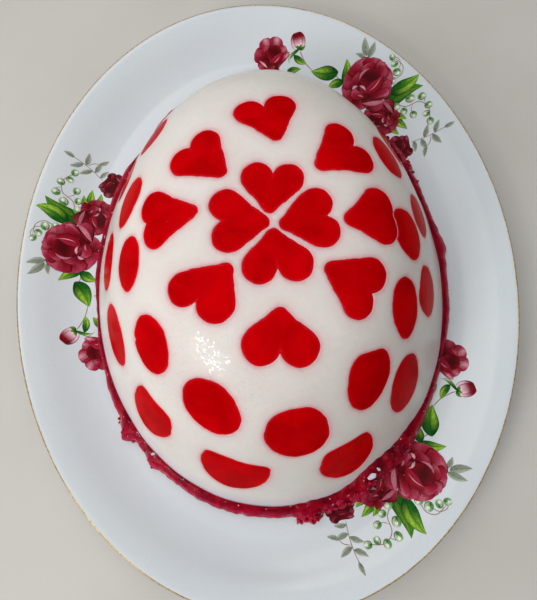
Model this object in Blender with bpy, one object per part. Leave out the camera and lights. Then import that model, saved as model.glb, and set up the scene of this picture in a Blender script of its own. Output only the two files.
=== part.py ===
"""Oval moulded jelly on its porcelain plate.

A white milk-jelly dome, set with red jelly hearts and discs that lie flush with its skin, stands on
a layer of red jelly in the well of an oval plate.  Metres, +Z up.  The origin is under the middle of
the plate, on the table, and the plate's long side runs along +Y.
"""
import math
from collections import namedtuple

import bmesh
import bpy
from mathutils import Matrix, Vector

COLLECTION = "moulded_jelly_on_oval_plate"
GAP = 0.0003                 # clearance between touching pieces

# ---- plate ----
PLATE_HALF_X = 0.130
PLATE_HALF_Y = 0.1634
PLATE_SEGMENTS = 56
WELL_LEVEL = 0.0090          # top of the flat well
FOOT_HEIGHT = 0.0035         # underside of the well above the table
# section of the plate: distance in from the rim edge, height above the table
PLATE_TOP = ((0.0012, 0.0205), (0.0050, 0.0199), (0.0130, 0.0165), (0.0220, 0.0120),
             (0.0280, 0.0098), (0.0330, WELL_LEVEL))
PLATE_UNDER = ((0.0000, 0.0190), (0.0012, 0.0176), (0.0080, 0.0151), (0.0180, 0.0100),
               (0.0300, 0.0052), (0.0400, 0.0042), (0.0415, 0.0000), (0.0460, 0.0000),
               (0.0475, FOOT_HEIGHT))

# ---- jelly, in its own frame on the well ----
JELLY_SHIFT_X = 0.0016       # the jelly stands a little off the plate's middle
JELLY_TURN = math.radians(-1.1)
JELLY_LEVEL = WELL_LEVEL + GAP
DOME_HALF_X = 0.0946         # outline at the foot
DOME_HALF_Y = 0.1217
DOME_HEIGHT = 0.0895
DOME_TAPER = 0.052           # the far end is narrower, like an egg
DOME_SHOULDER = 4.0          # height falls off as (1 - r**shoulder)**flare
DOME_FLARE = 1.5
DOME_SEGMENTS = 48
DOME_LEVELS = (0.16, 0.30, 0.42, 0.52, 0.61, 0.69, 0.76, 0.82, 0.875, 0.92)

# ---- red layer under the dome ----
LAYER_THICKNESS = 0.0070
# section of its uneven side: fraction of the dome's outline, height, share of the unevenness
LAYER_SIDE = ((0.980, 0.0000, 0.7), (0.998, 0.0014, 1.0), (0.994, 0.0036, 1.0),
              (0.975, 0.0060, 0.7), (0.955, LAYER_THICKNESS, 0.3))
LAYER_SEGMENTS = 64
# waves round the edge: amplitude, number of waves, phase
LAYER_WAVES = ((0.0009, 3, 0.6), (0.0006, 7, 2.1), (0.0005, 11, 4.0))

# ---- pieces of red jelly set in the dome ----
INSET_DEPTH = 0.0055         # thickness of the sheet that they are cut from
PRISM_ABOVE = 0.0060         # how far the cutting prisms stand above the skin
NEIGHBOUR_REACH = 0.034      # pieces nearer than this give way to the one placed earlier
HEART_POINTS = 24
DISC_POINTS = 18
HEART_TIP_RADIUS = 0.0030

# Hearts, tips towards the top of the dome.  bearing and turn in degrees, the rest in millimetres:
# reach from the dome's axis, width, length, radii of the two lobes, how far the tip stands off the
# middle, and how much further the first lobe reaches than the second.
Heart = namedtuple("Heart", "bearing reach turn width length lobe_a lobe_b lean drop")
INNER_HEARTS = (
    Heart(83, 12.5, 0, 24.5, 20.5, 6.4, 6.4, 0.5, 0.0),
    Heart(180, 11.5, 0, 25.5, 22.5, 6.6, 6.8, 1.5, 0.5),
    Heart(277, 15.0, 0, 27.0, 21.5, 6.8, 7.0, 0.0, -1.0),
    Heart(358, 15.0, 4, 24.5, 23.0, 6.4, 6.6, -1.5, 2.0),
)
OUTER_HEARTS = (
    Heart(89, 44.0, 4, 25.5, 23.5, 6.6, 6.4, -3.0, 2.0),
    Heart(133, 36.5, 0, 24.0, 24.0, 6.2, 6.2, -0.5, -1.0),
    Heart(174, 40.5, 3, 24.0, 26.5, 6.8, 7.0, -1.0, 2.0),
    Heart(226, 35.5, 1, 27.5, 25.0, 6.8, 7.5, 1.5, 2.5),
    Heart(272, 45.5, -2, 29.0, 22.5, 7.6, 7.4, 0.5, -1.5),
    Heart(321, 39.5, 3, 25.5, 25.0, 6.6, 6.6, -1.5, 1.0),
    Heart(1, 40.0, 8, 23.5, 24.0, 8.0, 8.0, -0.5, 0.0),
    Heart(42, 40.0, -2, 25.5, 25.0, 6.4, 6.6, 1.5, -0.5),
)

# Discs round the shoulder and round the flank: bearing and turn in degrees, then reach, width and
# height in millimetres, and the height of the straight cut across the top (0 leaves it round).
Disc = namedtuple("Disc", "bearing reach turn width height cut")
SHOULDER_DISCS = (
    Disc(249, 74.0, 35, 24.0, 28.0, 0),
    Disc(275, 81.0, 10, 26.0, 31.0, 1),
    Disc(301, 71.0, -18, 22.0, 29.0, 2),
    Disc(328, 63.0, -31, 19.0, 26.0, 0),
    Disc(357, 57.0, -25, 20.0, 24.0, 0),
    Disc(32, 62.0, -8, 21.0, 20.0, 0),
    Disc(58, 83.0, 0, 22.0, 20.0, 0),
    Disc(84, 95.0, 0, 23.0, 20.0, 0),
    Disc(109, 91.0, 0, 22.0, 20.0, 0),
    Disc(133, 74.0, 0, 20.0, 22.0, 0),
    Disc(162, 62.5, -30, 24.0, 19.0, 0),
    Disc(189, 59.5, 55, 19.0, 23.0, 0),
    Disc(221, 66.0, 30, 22.0, 25.0, 0),
)
FLANK_DISCS = (
    Disc(258, 97.0, -16, 31.0, 40.0, 10),
    Disc(288, 97.0, 12, 27.0, 38.0, 5),
    Disc(312, 84.0, 9, 23.0, 35.0, 0),
    Disc(341, 71.5, 12, 21.0, 31.0, 4),
    Disc(9, 68.0, 5, 20.0, 24.0, 0),
    Disc(39, 76.0, 0, 22.0, 26.0, 0),
    Disc(71, 99.0, 0, 23.0, 27.0, 0),
    Disc(97, 105.0, 0, 23.0, 27.0, 0),
    Disc(122, 93.0, 0, 23.0, 27.0, 0),
    Disc(149, 77.0, 0, 22.0, 26.0, 0),
    Disc(179, 76.0, 0, 27.0, 30.0, 0),
    Disc(205, 79.5, 18, 28.0, 29.0, 0),
    Disc(231, 89.0, -25, 25.0, 38.0, 5),
)

MILLIMETRE = 0.001


# ---------------------------------------------------------------- materials and objects

def make_material(name, colour, roughness, subsurface=0.0):
    material = bpy.data.materials.new(name)
    material.use_nodes = True
    shader = material.node_tree.nodes["Principled BSDF"]
    shader.inputs["Base Color"].default_value = (*colour, 1.0)
    shader.inputs["Roughness"].default_value = roughness
    shader.inputs["Metallic"].default_value = 0.0
    shader.inputs["Subsurface Weight"].default_value = subsurface
    material.diffuse_color = (*colour, 1.0)
    return material


def add_object(name, mesh, collection, material=None):
    obj = bpy.data.objects.new(name, mesh)
    collection.objects.link(obj)
    if material is not None:
        mesh.materials.clear()
        mesh.materials.append(material)
    return obj


def hide_tool(obj):
    obj.hide_render = True
    obj.display_type = "WIRE"


def loft(name, rings, pole=None):
    """Closed body through rings of equal point count, top to bottom, with flat ends or a top pole."""
    bm = bmesh.new()
    loops = [[bm.verts.new(point) for point in ring] for ring in rings]
    count = len(rings[0])
    for upper, lower in zip(loops, loops[1:]):
        for i in range(count):
            j = (i + 1) % count
            bm.faces.new((upper[i], lower[i], lower[j], upper[j]))
    if pole is None:
        bm.faces.new(loops[0])
    else:
        top = bm.verts.new(pole)
        for i in range(count):
            bm.faces.new((top, loops[0][i], loops[0][(i + 1) % count]))
    bm.faces.new(reversed(loops[-1]))
    mesh = bpy.data.meshes.new(name)
    bm.to_mesh(mesh)
    bm.free()
    mesh.shade_smooth()
    mesh.set_sharp_from_angle(angle=math.radians(40))
    return mesh


def prism(name, outline, low, high, collection):
    """Straight prism on a flat outline, from z = low to z = high."""
    curve = bpy.data.curves.new(name, "CURVE")
    curve.dimensions = "2D"
    curve.fill_mode = "BOTH"
    curve.extrude = (high - low) / 2
    spline = curve.splines.new("POLY")
    spline.points.add(len(outline) - 1)
    for point, (x, y) in zip(spline.points, outline):
        point.co = (x, y, 0.0, 1.0)
    spline.use_cyclic_u = True
    flat = bpy.data.objects.new(name + "_outline", curve)
    collection.objects.link(flat)
    flat.location.z = (high + low) / 2
    bpy.context.view_layer.update()
    evaluated = flat.evaluated_get(bpy.context.evaluated_depsgraph_get())
    mesh = bpy.data.meshes.new_from_object(evaluated)
    mesh.name = name
    mesh.transform(flat.matrix_world)
    bm = bmesh.new()
    bm.from_mesh(mesh)
    bmesh.ops.remove_doubles(bm, verts=bm.verts, dist=0.00001)
    bmesh.ops.recalc_face_normals(bm, faces=bm.faces)
    bm.to_mesh(mesh)
    bm.free()
    bpy.data.objects.remove(flat)
    bpy.data.curves.remove(curve)
    return mesh


def cut(target, operation, tool):
    modifier = target.modifiers.new(operation.lower(), "BOOLEAN")
    modifier.operation = operation
    modifier.solver = "EXACT"
    modifier.object = tool


# ---------------------------------------------------------------- plate

def oval_ring(inset, height):
    ring = []
    for i in range(PLATE_SEGMENTS):
        angle = 2 * math.pi * i / PLATE_SEGMENTS
        ring.append(((PLATE_HALF_X - inset) * math.cos(angle),
                     (PLATE_HALF_Y - inset) * math.sin(angle), height))
    return ring


def make_plate(collection):
    """Flat well, rising rim and foot ring, each a constant width all round the oval."""
    section = tuple(reversed(PLATE_TOP)) + PLATE_UNDER
    mesh = loft("plate", [oval_ring(inset, height) for inset, height in section])
    porcelain = make_material("white_porcelain", (0.62, 0.66, 0.67), 0.08)
    return add_object("plate", mesh, collection, porcelain)


# ---------------------------------------------------------------- dome

def dome_outline(fraction, angle):
    """Plan point at a fraction of the foot's outline; the egg narrows towards +Y."""
    across = DOME_HALF_X * fraction * math.cos(angle)
    along = DOME_HALF_Y * fraction * math.sin(angle)
    return across * (1 - DOME_TAPER * along / DOME_HALF_Y), along


def dome_height(x, y):
    along = y / DOME_HALF_Y
    across = x / (DOME_HALF_X * (1 - DOME_TAPER * along))
    fraction = min(1.0, math.hypot(across, along))
    return DOME_HEIGHT * (1 - fraction ** DOME_SHOULDER) ** DOME_FLARE


def dome_frame(bearing, reach):
    """Frame on the skin: +Z out of it, +Y up the slope towards the dome's axis, +X along it."""
    angle = math.radians(bearing)
    x, y = reach * math.cos(angle), reach * math.sin(angle)
    step = 0.0001
    slope_x = (dome_height(x + step, y) - dome_height(x - step, y)) / (2 * step)
    slope_y = (dome_height(x, y + step) - dome_height(x, y - step)) / (2 * step)
    normal = Vector((-slope_x, -slope_y, 1.0)).normalized()
    outward = Vector((math.cos(angle), math.sin(angle), 0.0))
    uphill = (normal * outward.dot(normal) - outward).normalized()
    sideways = uphill.cross(normal)
    frame = Matrix((sideways, uphill, normal)).transposed().to_4x4()
    frame.translation = Vector((x, y, dome_height(x, y)))
    return frame


def make_dome_mesh(name, underside):
    """The dome from its top down to the flat underside at the given height."""
    foot = (1 - (underside / DOME_HEIGHT) ** (1 / DOME_FLARE)) ** (1 / DOME_SHOULDER)
    rings = []
    for fraction in DOME_LEVELS + (foot,):
        ring = []
        for i in range(DOME_SEGMENTS):
            x, y = dome_outline(fraction, 2 * math.pi * i / DOME_SEGMENTS)
            ring.append((x, y, dome_height(x, y)))
        rings.append(ring)
    return loft(name, rings, pole=(0.0, 0.0, DOME_HEIGHT))


def make_layer_mesh(name):
    """Slab under the dome with a wavy rounded side."""
    rings = []
    for fraction, height, share in reversed(LAYER_SIDE):
        ring = []
        for i in range(LAYER_SEGMENTS):
            angle = 2 * math.pi * i / LAYER_SEGMENTS
            x, y = dome_outline(fraction, angle)
            wave = share * sum(size * math.sin(count * angle + phase)
                               for size, count, phase in LAYER_WAVES)
            reach = math.hypot(x, y)
            ring.append((x * (1 + wave / reach), y * (1 + wave / reach), height))
        rings.append(ring)
    return loft(name, rings)


# ---------------------------------------------------------------- outlines of the inset pieces

def taper_distance(x, y, start, start_radius, end, end_radius):
    """Signed distance to the flat hull of two circles."""
    px, py = x - start[0], y - start[1]
    dx, dy = end[0] - start[0], end[1] - start[1]
    length = math.hypot(dx, dy)
    along = (px * dx + py * dy) / length
    aside = abs(px * dy - py * dx) / length
    lean = (start_radius - end_radius) / length
    rise = math.sqrt(1 - lean * lean)
    foot = along - aside * lean / rise
    if foot <= 0:
        return math.hypot(along, aside) - start_radius
    if foot >= length:
        return math.hypot(along - length, aside) - end_radius
    return aside * rise + along * lean - start_radius


def heart_outline(heart):
    """Closed outline of a heart, tip towards +Y, the first lobe on the -X side."""
    width, length = heart.width, heart.length
    tip_radius = HEART_TIP_RADIUS / MILLIMETRE
    tip = (heart.lean, length / 2 - tip_radius)
    drop_a, drop_b = max(0.0, -heart.drop), max(0.0, heart.drop)
    lobe_a = (heart.lobe_a - width / 2, heart.lobe_a - length / 2 + drop_a)
    lobe_b = (width / 2 - heart.lobe_b, heart.lobe_b - length / 2 + drop_b)

    def distance(x, y):
        return min(taper_distance(x, y, lobe_a, heart.lobe_a, tip, tip_radius),
                   taper_distance(x, y, lobe_b, heart.lobe_b, tip, tip_radius))

    middle = ((lobe_a[0] + lobe_b[0] + 0.4 * tip[0]) / 2.4, 1.0)
    notch = math.atan2((lobe_a[1] + lobe_b[1]) / 2 - 9.0 - middle[1],
                       (lobe_a[0] + heart.lobe_a + lobe_b[0] - heart.lobe_b) / 2 - middle[0])
    turn = math.radians(heart.turn)
    outline = []
    for i in range(HEART_POINTS):
        angle = notch + 2 * math.pi * i / HEART_POINTS
        near, far = 0.0, width
        while far - near > 0.005:
            reach = (near + far) / 2
            if distance(middle[0] + reach * math.cos(angle), middle[1] + reach * math.sin(angle)) < 0:
                near = reach
            else:
                far = reach
        x, y = middle[0] + near * math.cos(angle), middle[1] + near * math.sin(angle)
        outline.append(((x * math.cos(turn) - y * math.sin(turn)) * MILLIMETRE,
                        (x * math.sin(turn) + y * math.cos(turn)) * MILLIMETRE))
    return outline


def disc_outline(disc):
    """Closed oval outline, cut straight across the top where the piece dives under the skin."""
    turn = math.radians(disc.turn)
    outline = []
    for i in range(DISC_POINTS):
        angle = 2 * math.pi * i / DISC_POINTS
        x = disc.width / 2 * math.cos(angle)
        y = min(disc.height / 2 * math.sin(angle), disc.height / 2 - disc.cut)
        outline.append(((x * math.cos(turn) - y * math.sin(turn)) * MILLIMETRE,
                        (x * math.sin(turn) + y * math.cos(turn)) * MILLIMETRE))
    return outline


def grow(outline, distance):
    """Outline moved outwards along its corners' bisectors."""
    grown = []
    count = len(outline)
    for i in range(count):
        before, here, after = (Vector(outline[(i + k) % count]) for k in (-1, 0, 1))
        first, second = (here - before).normalized(), (after - here).normalized()
        normal_a = Vector((first.y, -first.x))
        normal_b = Vector((second.y, -second.x))
        bisector = (normal_a + normal_b).normalized()
        grown.append(here + bisector * distance / max(0.5, bisector.dot(normal_a)))
    return grown


# ---------------------------------------------------------------- assembly

def make_inset(name, outline, frame, blank, material, parts, tools, pockets):
    """A red piece flush with the skin, and the slightly larger pocket that it sits in."""
    piece = add_object(name, prism(name, outline, -INSET_DEPTH, PRISM_ABOVE, tools), parts, material)
    piece.matrix_world = frame
    cut(piece, "INTERSECT", blank)
    for earlier in pockets:
        if (earlier.matrix_world.translation - frame.translation).length < NEIGHBOUR_REACH:
            cut(piece, "DIFFERENCE", earlier)
    mesh = prism(name + "_pocket", grow(outline, GAP), -INSET_DEPTH - GAP, PRISM_ABOVE, tools)
    pocket = add_object(name + "_pocket", mesh, tools)
    pocket.matrix_world = frame
    hide_tool(pocket)
    pockets.append(pocket)


def build():
    for obj in list(bpy.data.objects):
        bpy.data.objects.remove(obj)
    scene = bpy.context.scene
    parts = bpy.data.collections.new(COLLECTION)
    tools = bpy.data.collections.new("cutters")
    scene.collection.children.link(parts)
    scene.collection.children.link(tools)

    make_plate(parts)
    place = Matrix.Translation((JELLY_SHIFT_X, 0.0, JELLY_LEVEL)) @ Matrix.Rotation(JELLY_TURN, 4, "Z")
    milk = make_material("white_milk_jelly", (0.72, 0.68, 0.62), 0.12, subsurface=0.3)
    red = make_material("red_jelly", (0.42, 0.003, 0.006), 0.08, subsurface=0.1)
    crimson = make_material("red_base_jelly", (0.32, 0.008, 0.022), 0.08, subsurface=0.1)

    layer = add_object("red_base_layer", make_layer_mesh("red_base_layer"), parts, crimson)
    layer.matrix_world = place
    underside = LAYER_THICKNESS + GAP
    dome = add_object("milk_jelly", make_dome_mesh("milk_jelly", underside), parts, milk)
    dome.matrix_world = place
    blank = add_object("dome_blank", make_dome_mesh("dome_blank", underside), tools)
    blank.matrix_world = place
    hide_tool(blank)

    rows = (("inner_heart", INNER_HEARTS, heart_outline),
            ("outer_heart", OUTER_HEARTS, heart_outline),
            ("shoulder_disc", SHOULDER_DISCS, disc_outline),
            ("flank_disc", FLANK_DISCS, disc_outline))
    pockets = []
    for stem, pieces, outline_of in rows:
        for number, piece in enumerate(pieces, start=1):
            frame = place @ dome_frame(piece.bearing, piece.reach * MILLIMETRE)
            make_inset(f"{stem}_{number:02d}", outline_of(piece), frame, blank, red,
                       parts, tools, pockets)
    for pocket in pockets:
        cut(dome, "DIFFERENCE", pocket)


build()
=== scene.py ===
"""Moulded jelly on its porcelain plate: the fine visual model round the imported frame."""
import math
from collections import namedtuple

import bmesh
import bpy
import numpy as np
from mathutils import Matrix, Vector
from mathutils.bvhtree import BVHTree
from mathutils.geometry import delaunay_2d_cdt


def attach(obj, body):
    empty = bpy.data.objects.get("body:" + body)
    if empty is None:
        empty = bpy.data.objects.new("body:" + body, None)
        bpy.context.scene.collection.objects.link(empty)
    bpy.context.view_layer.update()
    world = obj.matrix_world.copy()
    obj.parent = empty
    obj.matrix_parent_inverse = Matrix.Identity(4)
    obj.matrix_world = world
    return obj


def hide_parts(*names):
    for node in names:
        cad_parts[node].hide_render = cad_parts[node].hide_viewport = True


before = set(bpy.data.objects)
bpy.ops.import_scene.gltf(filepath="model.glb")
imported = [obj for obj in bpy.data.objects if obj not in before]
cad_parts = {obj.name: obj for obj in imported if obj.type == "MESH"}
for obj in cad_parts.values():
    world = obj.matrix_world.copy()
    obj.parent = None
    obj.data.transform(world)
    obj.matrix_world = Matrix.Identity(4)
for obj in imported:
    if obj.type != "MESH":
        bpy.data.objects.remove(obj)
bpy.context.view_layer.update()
MM = 0.001
RNG = np.random.default_rng(41)
FULL_TURN = 2 * math.pi

# ---------------------------------------------------------------- sizes (metres unless said)

PLATE_HALF_X = 0.130
PLATE_HALF_Y = 0.1634
WELL_LEVEL = 0.0090
# distance in from the rim edge and height, millimetres: the plate's upper and under side
PLATE_TOP = ((0.0, 19.9), (0.35, 20.35), (1.2, 20.5), (2.6, 20.35), (5.0, 19.7), (9.0, 18.3), (13.0, 16.5),
             (18.0, 13.9), (22.0, 12.0), (25.5, 10.6), (28.5, 9.7), (31.0, 9.2), (34.0, 9.0))
PLATE_UNDER = ((0.0, 19.0), (0.4, 18.2), (1.4, 17.5), (4.0, 16.6), (8.0, 15.1), (13.0, 12.6),
               (18.0, 10.0), (24.0, 7.3), (30.0, 5.2), (36.0, 4.4), (39.6, 4.1), (41.2, 3.0),
               (41.8, 0.6), (42.4, 0.0), (45.2, 0.0), (46.0, 0.7), (46.8, 2.6), (48.4, 3.5), (60.0, 3.5))
# loops across the well and under it, in the same way
WELL_LOOPS = ((90.0, 9.0), (60.0, 9.0), (44.0, 9.0))
UNDERSIDE_LOOP = (90.0, 3.5)
PLATE_SEGMENTS = 288         # points round each loop of the plate, and of the gold line
GOLD_POINTS = 360
# the gold line's outer and inner side, as distance in and height, mm
GOLD_PATH = ((0.80, 20.49), (0.45, 20.47), (0.12, 20.26), (-0.03, 19.85), (-0.04, 19.4), (0.02, 18.9),
             (0.12, 18.95), (0.16, 19.5), (0.30, 20.1), (0.78, 20.40))

JELLY_SHIFT_X = 0.0016
JELLY_TURN = math.radians(-1.1)
JELLY_LEVEL = WELL_LEVEL + 0.0003
DOME_HALF_X = 0.0946
DOME_HALF_Y = 0.1217
DOME_HEIGHT = 0.0895
DOME_TAPER = 0.052           # share of the width lost at the back and gained at the front
DOME_SQUARENESS = 4          # powers that shape the profile: a flat crown and steep sides
DOME_STEEPNESS = 1.5
FOOT_LEVEL = 0.0073          # underside of the white jelly above the well
# the foot's size as a fraction of the whole oval
FOOT_FRACTION = (1 - (FOOT_LEVEL / DOME_HEIGHT) ** (1 / DOME_STEEPNESS)) ** (1 / DOME_SQUARENESS)
PLACE = Matrix.Translation((JELLY_SHIFT_X, 0.0, JELLY_LEVEL)) @ Matrix.Rotation(JELLY_TURN, 4, "Z")

INSET_DEPTH = 5.5            # mm, thickness of the sheet that the pieces are cut from
SEAM = 0.06                  # mm, between a piece and its pocket
HEART_TIP_RADIUS = 3.0       # mm
OVERLAP_GAP = 0.25           # mm of white between a disc and the heart that it makes way for
NOTCH_BLEND = 0.5            # mm over which a heart's lobes, or a nick and its edge, run together
CUT_BLEND = 3.0              # mm over which a disc's cut side runs into its round edge
PIECE_REACH = 34.0           # mm, farther than the edge of any piece is from its middle

Heart = namedtuple("Heart", "bearing reach turn width length lobe_a lobe_b lean drop")
INNER_HEARTS = (
    Heart(83, 12.5, 0, 24.5, 20.5, 6.4, 6.4, 0.5, 0.0),
    Heart(180, 11.5, 0, 25.5, 22.5, 6.6, 6.8, 1.5, 0.5),
    Heart(277, 15.0, 0, 27.0, 21.5, 6.8, 7.0, 0.0, -1.0),
    Heart(358, 15.0, 4, 24.5, 23.0, 6.4, 6.6, -1.5, 2.0),
)
OUTER_HEARTS = (
    Heart(89, 44.0, 4, 25.5, 23.5, 6.6, 6.4, -3.0, 2.0),
    Heart(133, 36.5, 0, 24.0, 24.0, 6.2, 6.2, -0.5, -1.0),
    Heart(174, 40.5, 3, 24.0, 26.5, 6.8, 7.0, -1.0, 2.0),
    Heart(226, 35.5, 1, 27.5, 25.0, 6.8, 7.5, 1.5, 2.5),
    Heart(272, 45.5, -2, 29.0, 22.5, 7.6, 7.4, 0.5, -1.5),
    Heart(321, 39.5, 3, 25.5, 25.0, 6.6, 6.6, -1.5, 1.0),
    Heart(1, 40.0, 8, 23.5, 24.0, 8.0, 8.0, -0.5, 0.0),
    Heart(42, 40.0, -2, 25.5, 25.0, 6.4, 6.6, 1.5, -0.5),
)
Disc = namedtuple("Disc", "bearing reach turn width height cut")
SHOULDER_DISCS = (
    Disc(249, 74.0, 35, 24.0, 28.0, 0),
    Disc(275, 81.0, 10, 26.0, 31.0, 1),
    Disc(301, 71.0, -18, 22.0, 29.0, 2),
    Disc(328, 63.0, -31, 19.0, 26.0, 0),
    Disc(357, 57.0, -25, 20.0, 24.0, 0),
    Disc(32, 62.0, -8, 21.0, 20.0, 0),
    Disc(58, 83.0, 0, 22.0, 20.0, 0),
    Disc(84, 95.0, 0, 23.0, 20.0, 0),
    Disc(109, 91.0, 0, 22.0, 20.0, 0),
    Disc(133, 74.0, 0, 20.0, 22.0, 0),
    Disc(162, 62.5, -30, 24.0, 19.0, 0),
    Disc(189, 59.5, 55, 19.0, 23.0, 0),
    Disc(221, 66.0, 30, 22.0, 25.0, 0),
)
FLANK_DISCS = (
    Disc(258, 97.0, -16, 31.0, 40.0, 10),
    Disc(288, 97.0, 12, 27.0, 38.0, 5),
    Disc(312, 84.0, 9, 23.0, 35.0, 0),
    Disc(341, 71.5, 12, 21.0, 31.0, 4),
    Disc(9, 68.0, 5, 20.0, 24.0, 0),
    Disc(39, 76.0, 0, 22.0, 26.0, 0),
    Disc(71, 99.0, 0, 23.0, 27.0, 0),
    Disc(97, 105.0, 0, 23.0, 27.0, 0),
    Disc(122, 93.0, 0, 23.0, 27.0, 0),
    Disc(149, 77.0, 0, 22.0, 26.0, 0),
    Disc(179, 76.0, 0, 27.0, 30.0, 0),
    Disc(205, 79.5, 18, 28.0, 29.0, 0),
    Disc(231, 89.0, -25, 25.0, 38.0, 5),
)
# small nicks in cut edges: node, sideways and uphill place and radius in mm
NICKS = (("flank_disc_02", -7.5, 15.2, 1.5), ("flank_disc_12", 3.0, 14.9, 1.3),
         ("flank_disc_12", 5.4, 13.2, 0.8), ("outer_heart_07", 2.6, 11.2, 1.2),
         ("flank_disc_08", -3.0, 13.2, 1.1), ("outer_heart_03", 0.4, 13.9, 1.4),
         ("shoulder_disc_13", -9.6, -5.5, 0.9))
# waves of a hand-cut edge: size in mm and number round the piece
CUT_WAVES = ((0.16, 3), (0.12, 5), (0.07, 9), (0.05, 15), (0.03, 26))

# ---------------------------------------------------------------- lamps, camera and places

AMBIENT = 0.13
AMBIENT_COLOUR = (0.93, 0.96, 1.0, 1.0)
# name, bearing and height in degrees, distance and size in metres, watts, colour
LAMPS = (
    ("overhead", 90, 90, 1.6, 2.4, 17.0, (0.985, 1.0, 1.0)),
    ("left", 180, 35, 1.4, 1.2, 1.5, (1.0, 0.99, 1.0)),
    ("back left", 130, 45, 1.4, 1.2, 5.3, (1.0, 1.0, 0.98)),
    ("low left", -155, 25, 1.4, 0.8, 0.9, (1.0, 0.99, 0.99)),
    ("key", -139, 36, 1.1, 0.38, 4.4, (1.0, 1.0, 1.0)),
)
LAMP_TARGET = Vector((0.0, 0.0, 0.05))
FLOOR_REACH = 1.6            # metres from the middle to each side
CAMERA_PLACE = (-0.00312, -0.07286, 0.28804)
CAMERA_AZIMUTH = 3.02        # degrees, as are the next two
CAMERA_ELEVATION = 77.65
CAMERA_ROLL = -0.91
CAMERA_LENS = 31.9           # mm

# name, x and y of the large rose (mm), heading of the small rose (degrees)
SPRAYS = (("spray_left", -104.7, 23.9, -78.9), ("spray_back", 66.0, 111.3, 153.3),
          ("spray_front", 67.2, -104.0, 63.6))
WET_PATCH = (-0.027, -0.055, 0.088)      # middle of the drops of water on the shoulder


# ---------------------------------------------------------------- the dome's skin

SLOPE_STEP = 0.00005         # metres to either side, where a slope is taken
PAST_FOOT = 0.16             # metres, farther out than the foot anywhere
DROP_ROUNDS = 8              # rounds of Newton's method that bring a point down on the skin
DROP_STEP = 0.02             # metres, the longest move in one round


def dome_fraction(x, y):
    """0 in the middle of the dome's oval and 1 on its edge."""
    along = y / DOME_HALF_Y
    return np.hypot(x / (DOME_HALF_X * (1 - DOME_TAPER * along)), along)


def dome_height(x, y):
    fraction = np.minimum(1.0, dome_fraction(x, y))
    return DOME_HEIGHT * (1 - fraction ** DOME_SQUARENESS) ** DOME_STEEPNESS


def dome_slopes(x, y):
    step = SLOPE_STEP
    return ((dome_height(x + step, y) - dome_height(x - step, y)) / (2 * step),
            (dome_height(x, y + step) - dome_height(x, y - step)) / (2 * step))


def dome_normal(x, y):
    slope_x, slope_y = dome_slopes(x, y)
    normal = np.stack([-slope_x, -slope_y, np.ones_like(slope_x)], -1)
    return normal / np.linalg.norm(normal, axis=-1, keepdims=True)


def ripple(x, y):
    """Slight unevenness of the set jelly, metres along the normal."""
    a, b = x / MM, y / MM
    return (0.10 * np.sin(a / 9.7 + 1.3 * np.sin(b / 17.0)) * np.sin(b / 11.3 + 0.7)
            + 0.06 * np.sin(a / 4.9 - b / 6.1 + 2.0) + 0.05 * np.sin(a / 6.7 + b / 4.3)) * MM


def skin(x, y, rise=0.0):
    """Point on the skin above plan point (x, y) of the jelly's own frame, raised along the normal."""
    base = np.stack([x, y, dome_height(x, y)], -1)
    return base + dome_normal(x, y) * (ripple(x, y) + rise)[..., None]


def skin_frame(bearing, reach):
    """Origin, sideways, uphill and normal of the skin at a bearing (degrees) and reach (mm)."""
    angle = math.radians(bearing)
    outward = np.array([math.cos(angle), math.sin(angle), 0.0])
    x, y = outward[:2] * reach * MM
    normal = dome_normal(x, y)
    uphill = normal * (outward @ normal) - outward
    uphill /= np.linalg.norm(uphill)
    return np.array([x, y, float(dome_height(x, y))]), np.cross(uphill, normal), uphill, normal


def drop_on_skin(spot, u, v):
    """Plan points under tangent-plane points (u, v in mm) of a skin frame."""
    origin, sideways, uphill, normal = spot
    point = origin + (u[..., None] * sideways + v[..., None] * uphill) * MM
    for _ in range(DROP_ROUNDS):
        slope_x, slope_y = dome_slopes(point[..., 0], point[..., 1])
        gap = point[..., 2] - dome_height(point[..., 0], point[..., 1])
        rate = normal[2] - slope_x * normal[0] - slope_y * normal[1]
        point = point - np.clip(gap / rate, -DROP_STEP, DROP_STEP)[..., None] * normal
    return point[..., 0], point[..., 1]


def turn_angles(count):
    return np.linspace(0, FULL_TURN, count, endpoint=False)


def reach_while(inside, far, rounds):
    """The largest value, from 0 to far, at which inside(value) still holds, found by halving."""
    near = np.zeros_like(far)
    for _ in range(rounds):
        middle = (near + far) / 2
        held = inside(middle)
        near, far = np.where(held, middle, near), np.where(held, far, middle)
    return near


def foot_reach(angle):
    """Distance from the jelly's middle to its foot at plan angles."""
    def inside(reach):
        return dome_fraction(reach * np.cos(angle), reach * np.sin(angle)) < FOOT_FRACTION
    return reach_while(inside, np.full_like(angle, PAST_FOOT), rounds=40)


# ---------------------------------------------------------------- outlines of the red pieces

def smooth_min(a, b, width):
    share = np.clip(0.5 + 0.5 * (b - a) / width, 0.0, 1.0)
    return b * (1 - share) + a * share - width * share * (1 - share)


def turned_plane(x, y, degrees):
    turn = math.radians(degrees)
    return x * math.cos(turn) + y * math.sin(turn), y * math.cos(turn) - x * math.sin(turn)


def taper_distance(x, y, start, start_radius, end, end_radius):
    """Signed distance to the flat hull of two circles."""
    px, py = x - start[0], y - start[1]
    dx, dy = end[0] - start[0], end[1] - start[1]
    length = math.hypot(dx, dy)
    along = (px * dx + py * dy) / length
    aside = np.abs(px * dy - py * dx) / length
    lean = (start_radius - end_radius) / length
    rise = math.sqrt(1 - lean * lean)
    foot = along - aside * lean / rise
    return np.where(foot <= 0, np.hypot(along, aside) - start_radius,
                    np.where(foot >= length, np.hypot(along - length, aside) - end_radius,
                             aside * rise + along * lean - start_radius))


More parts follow.
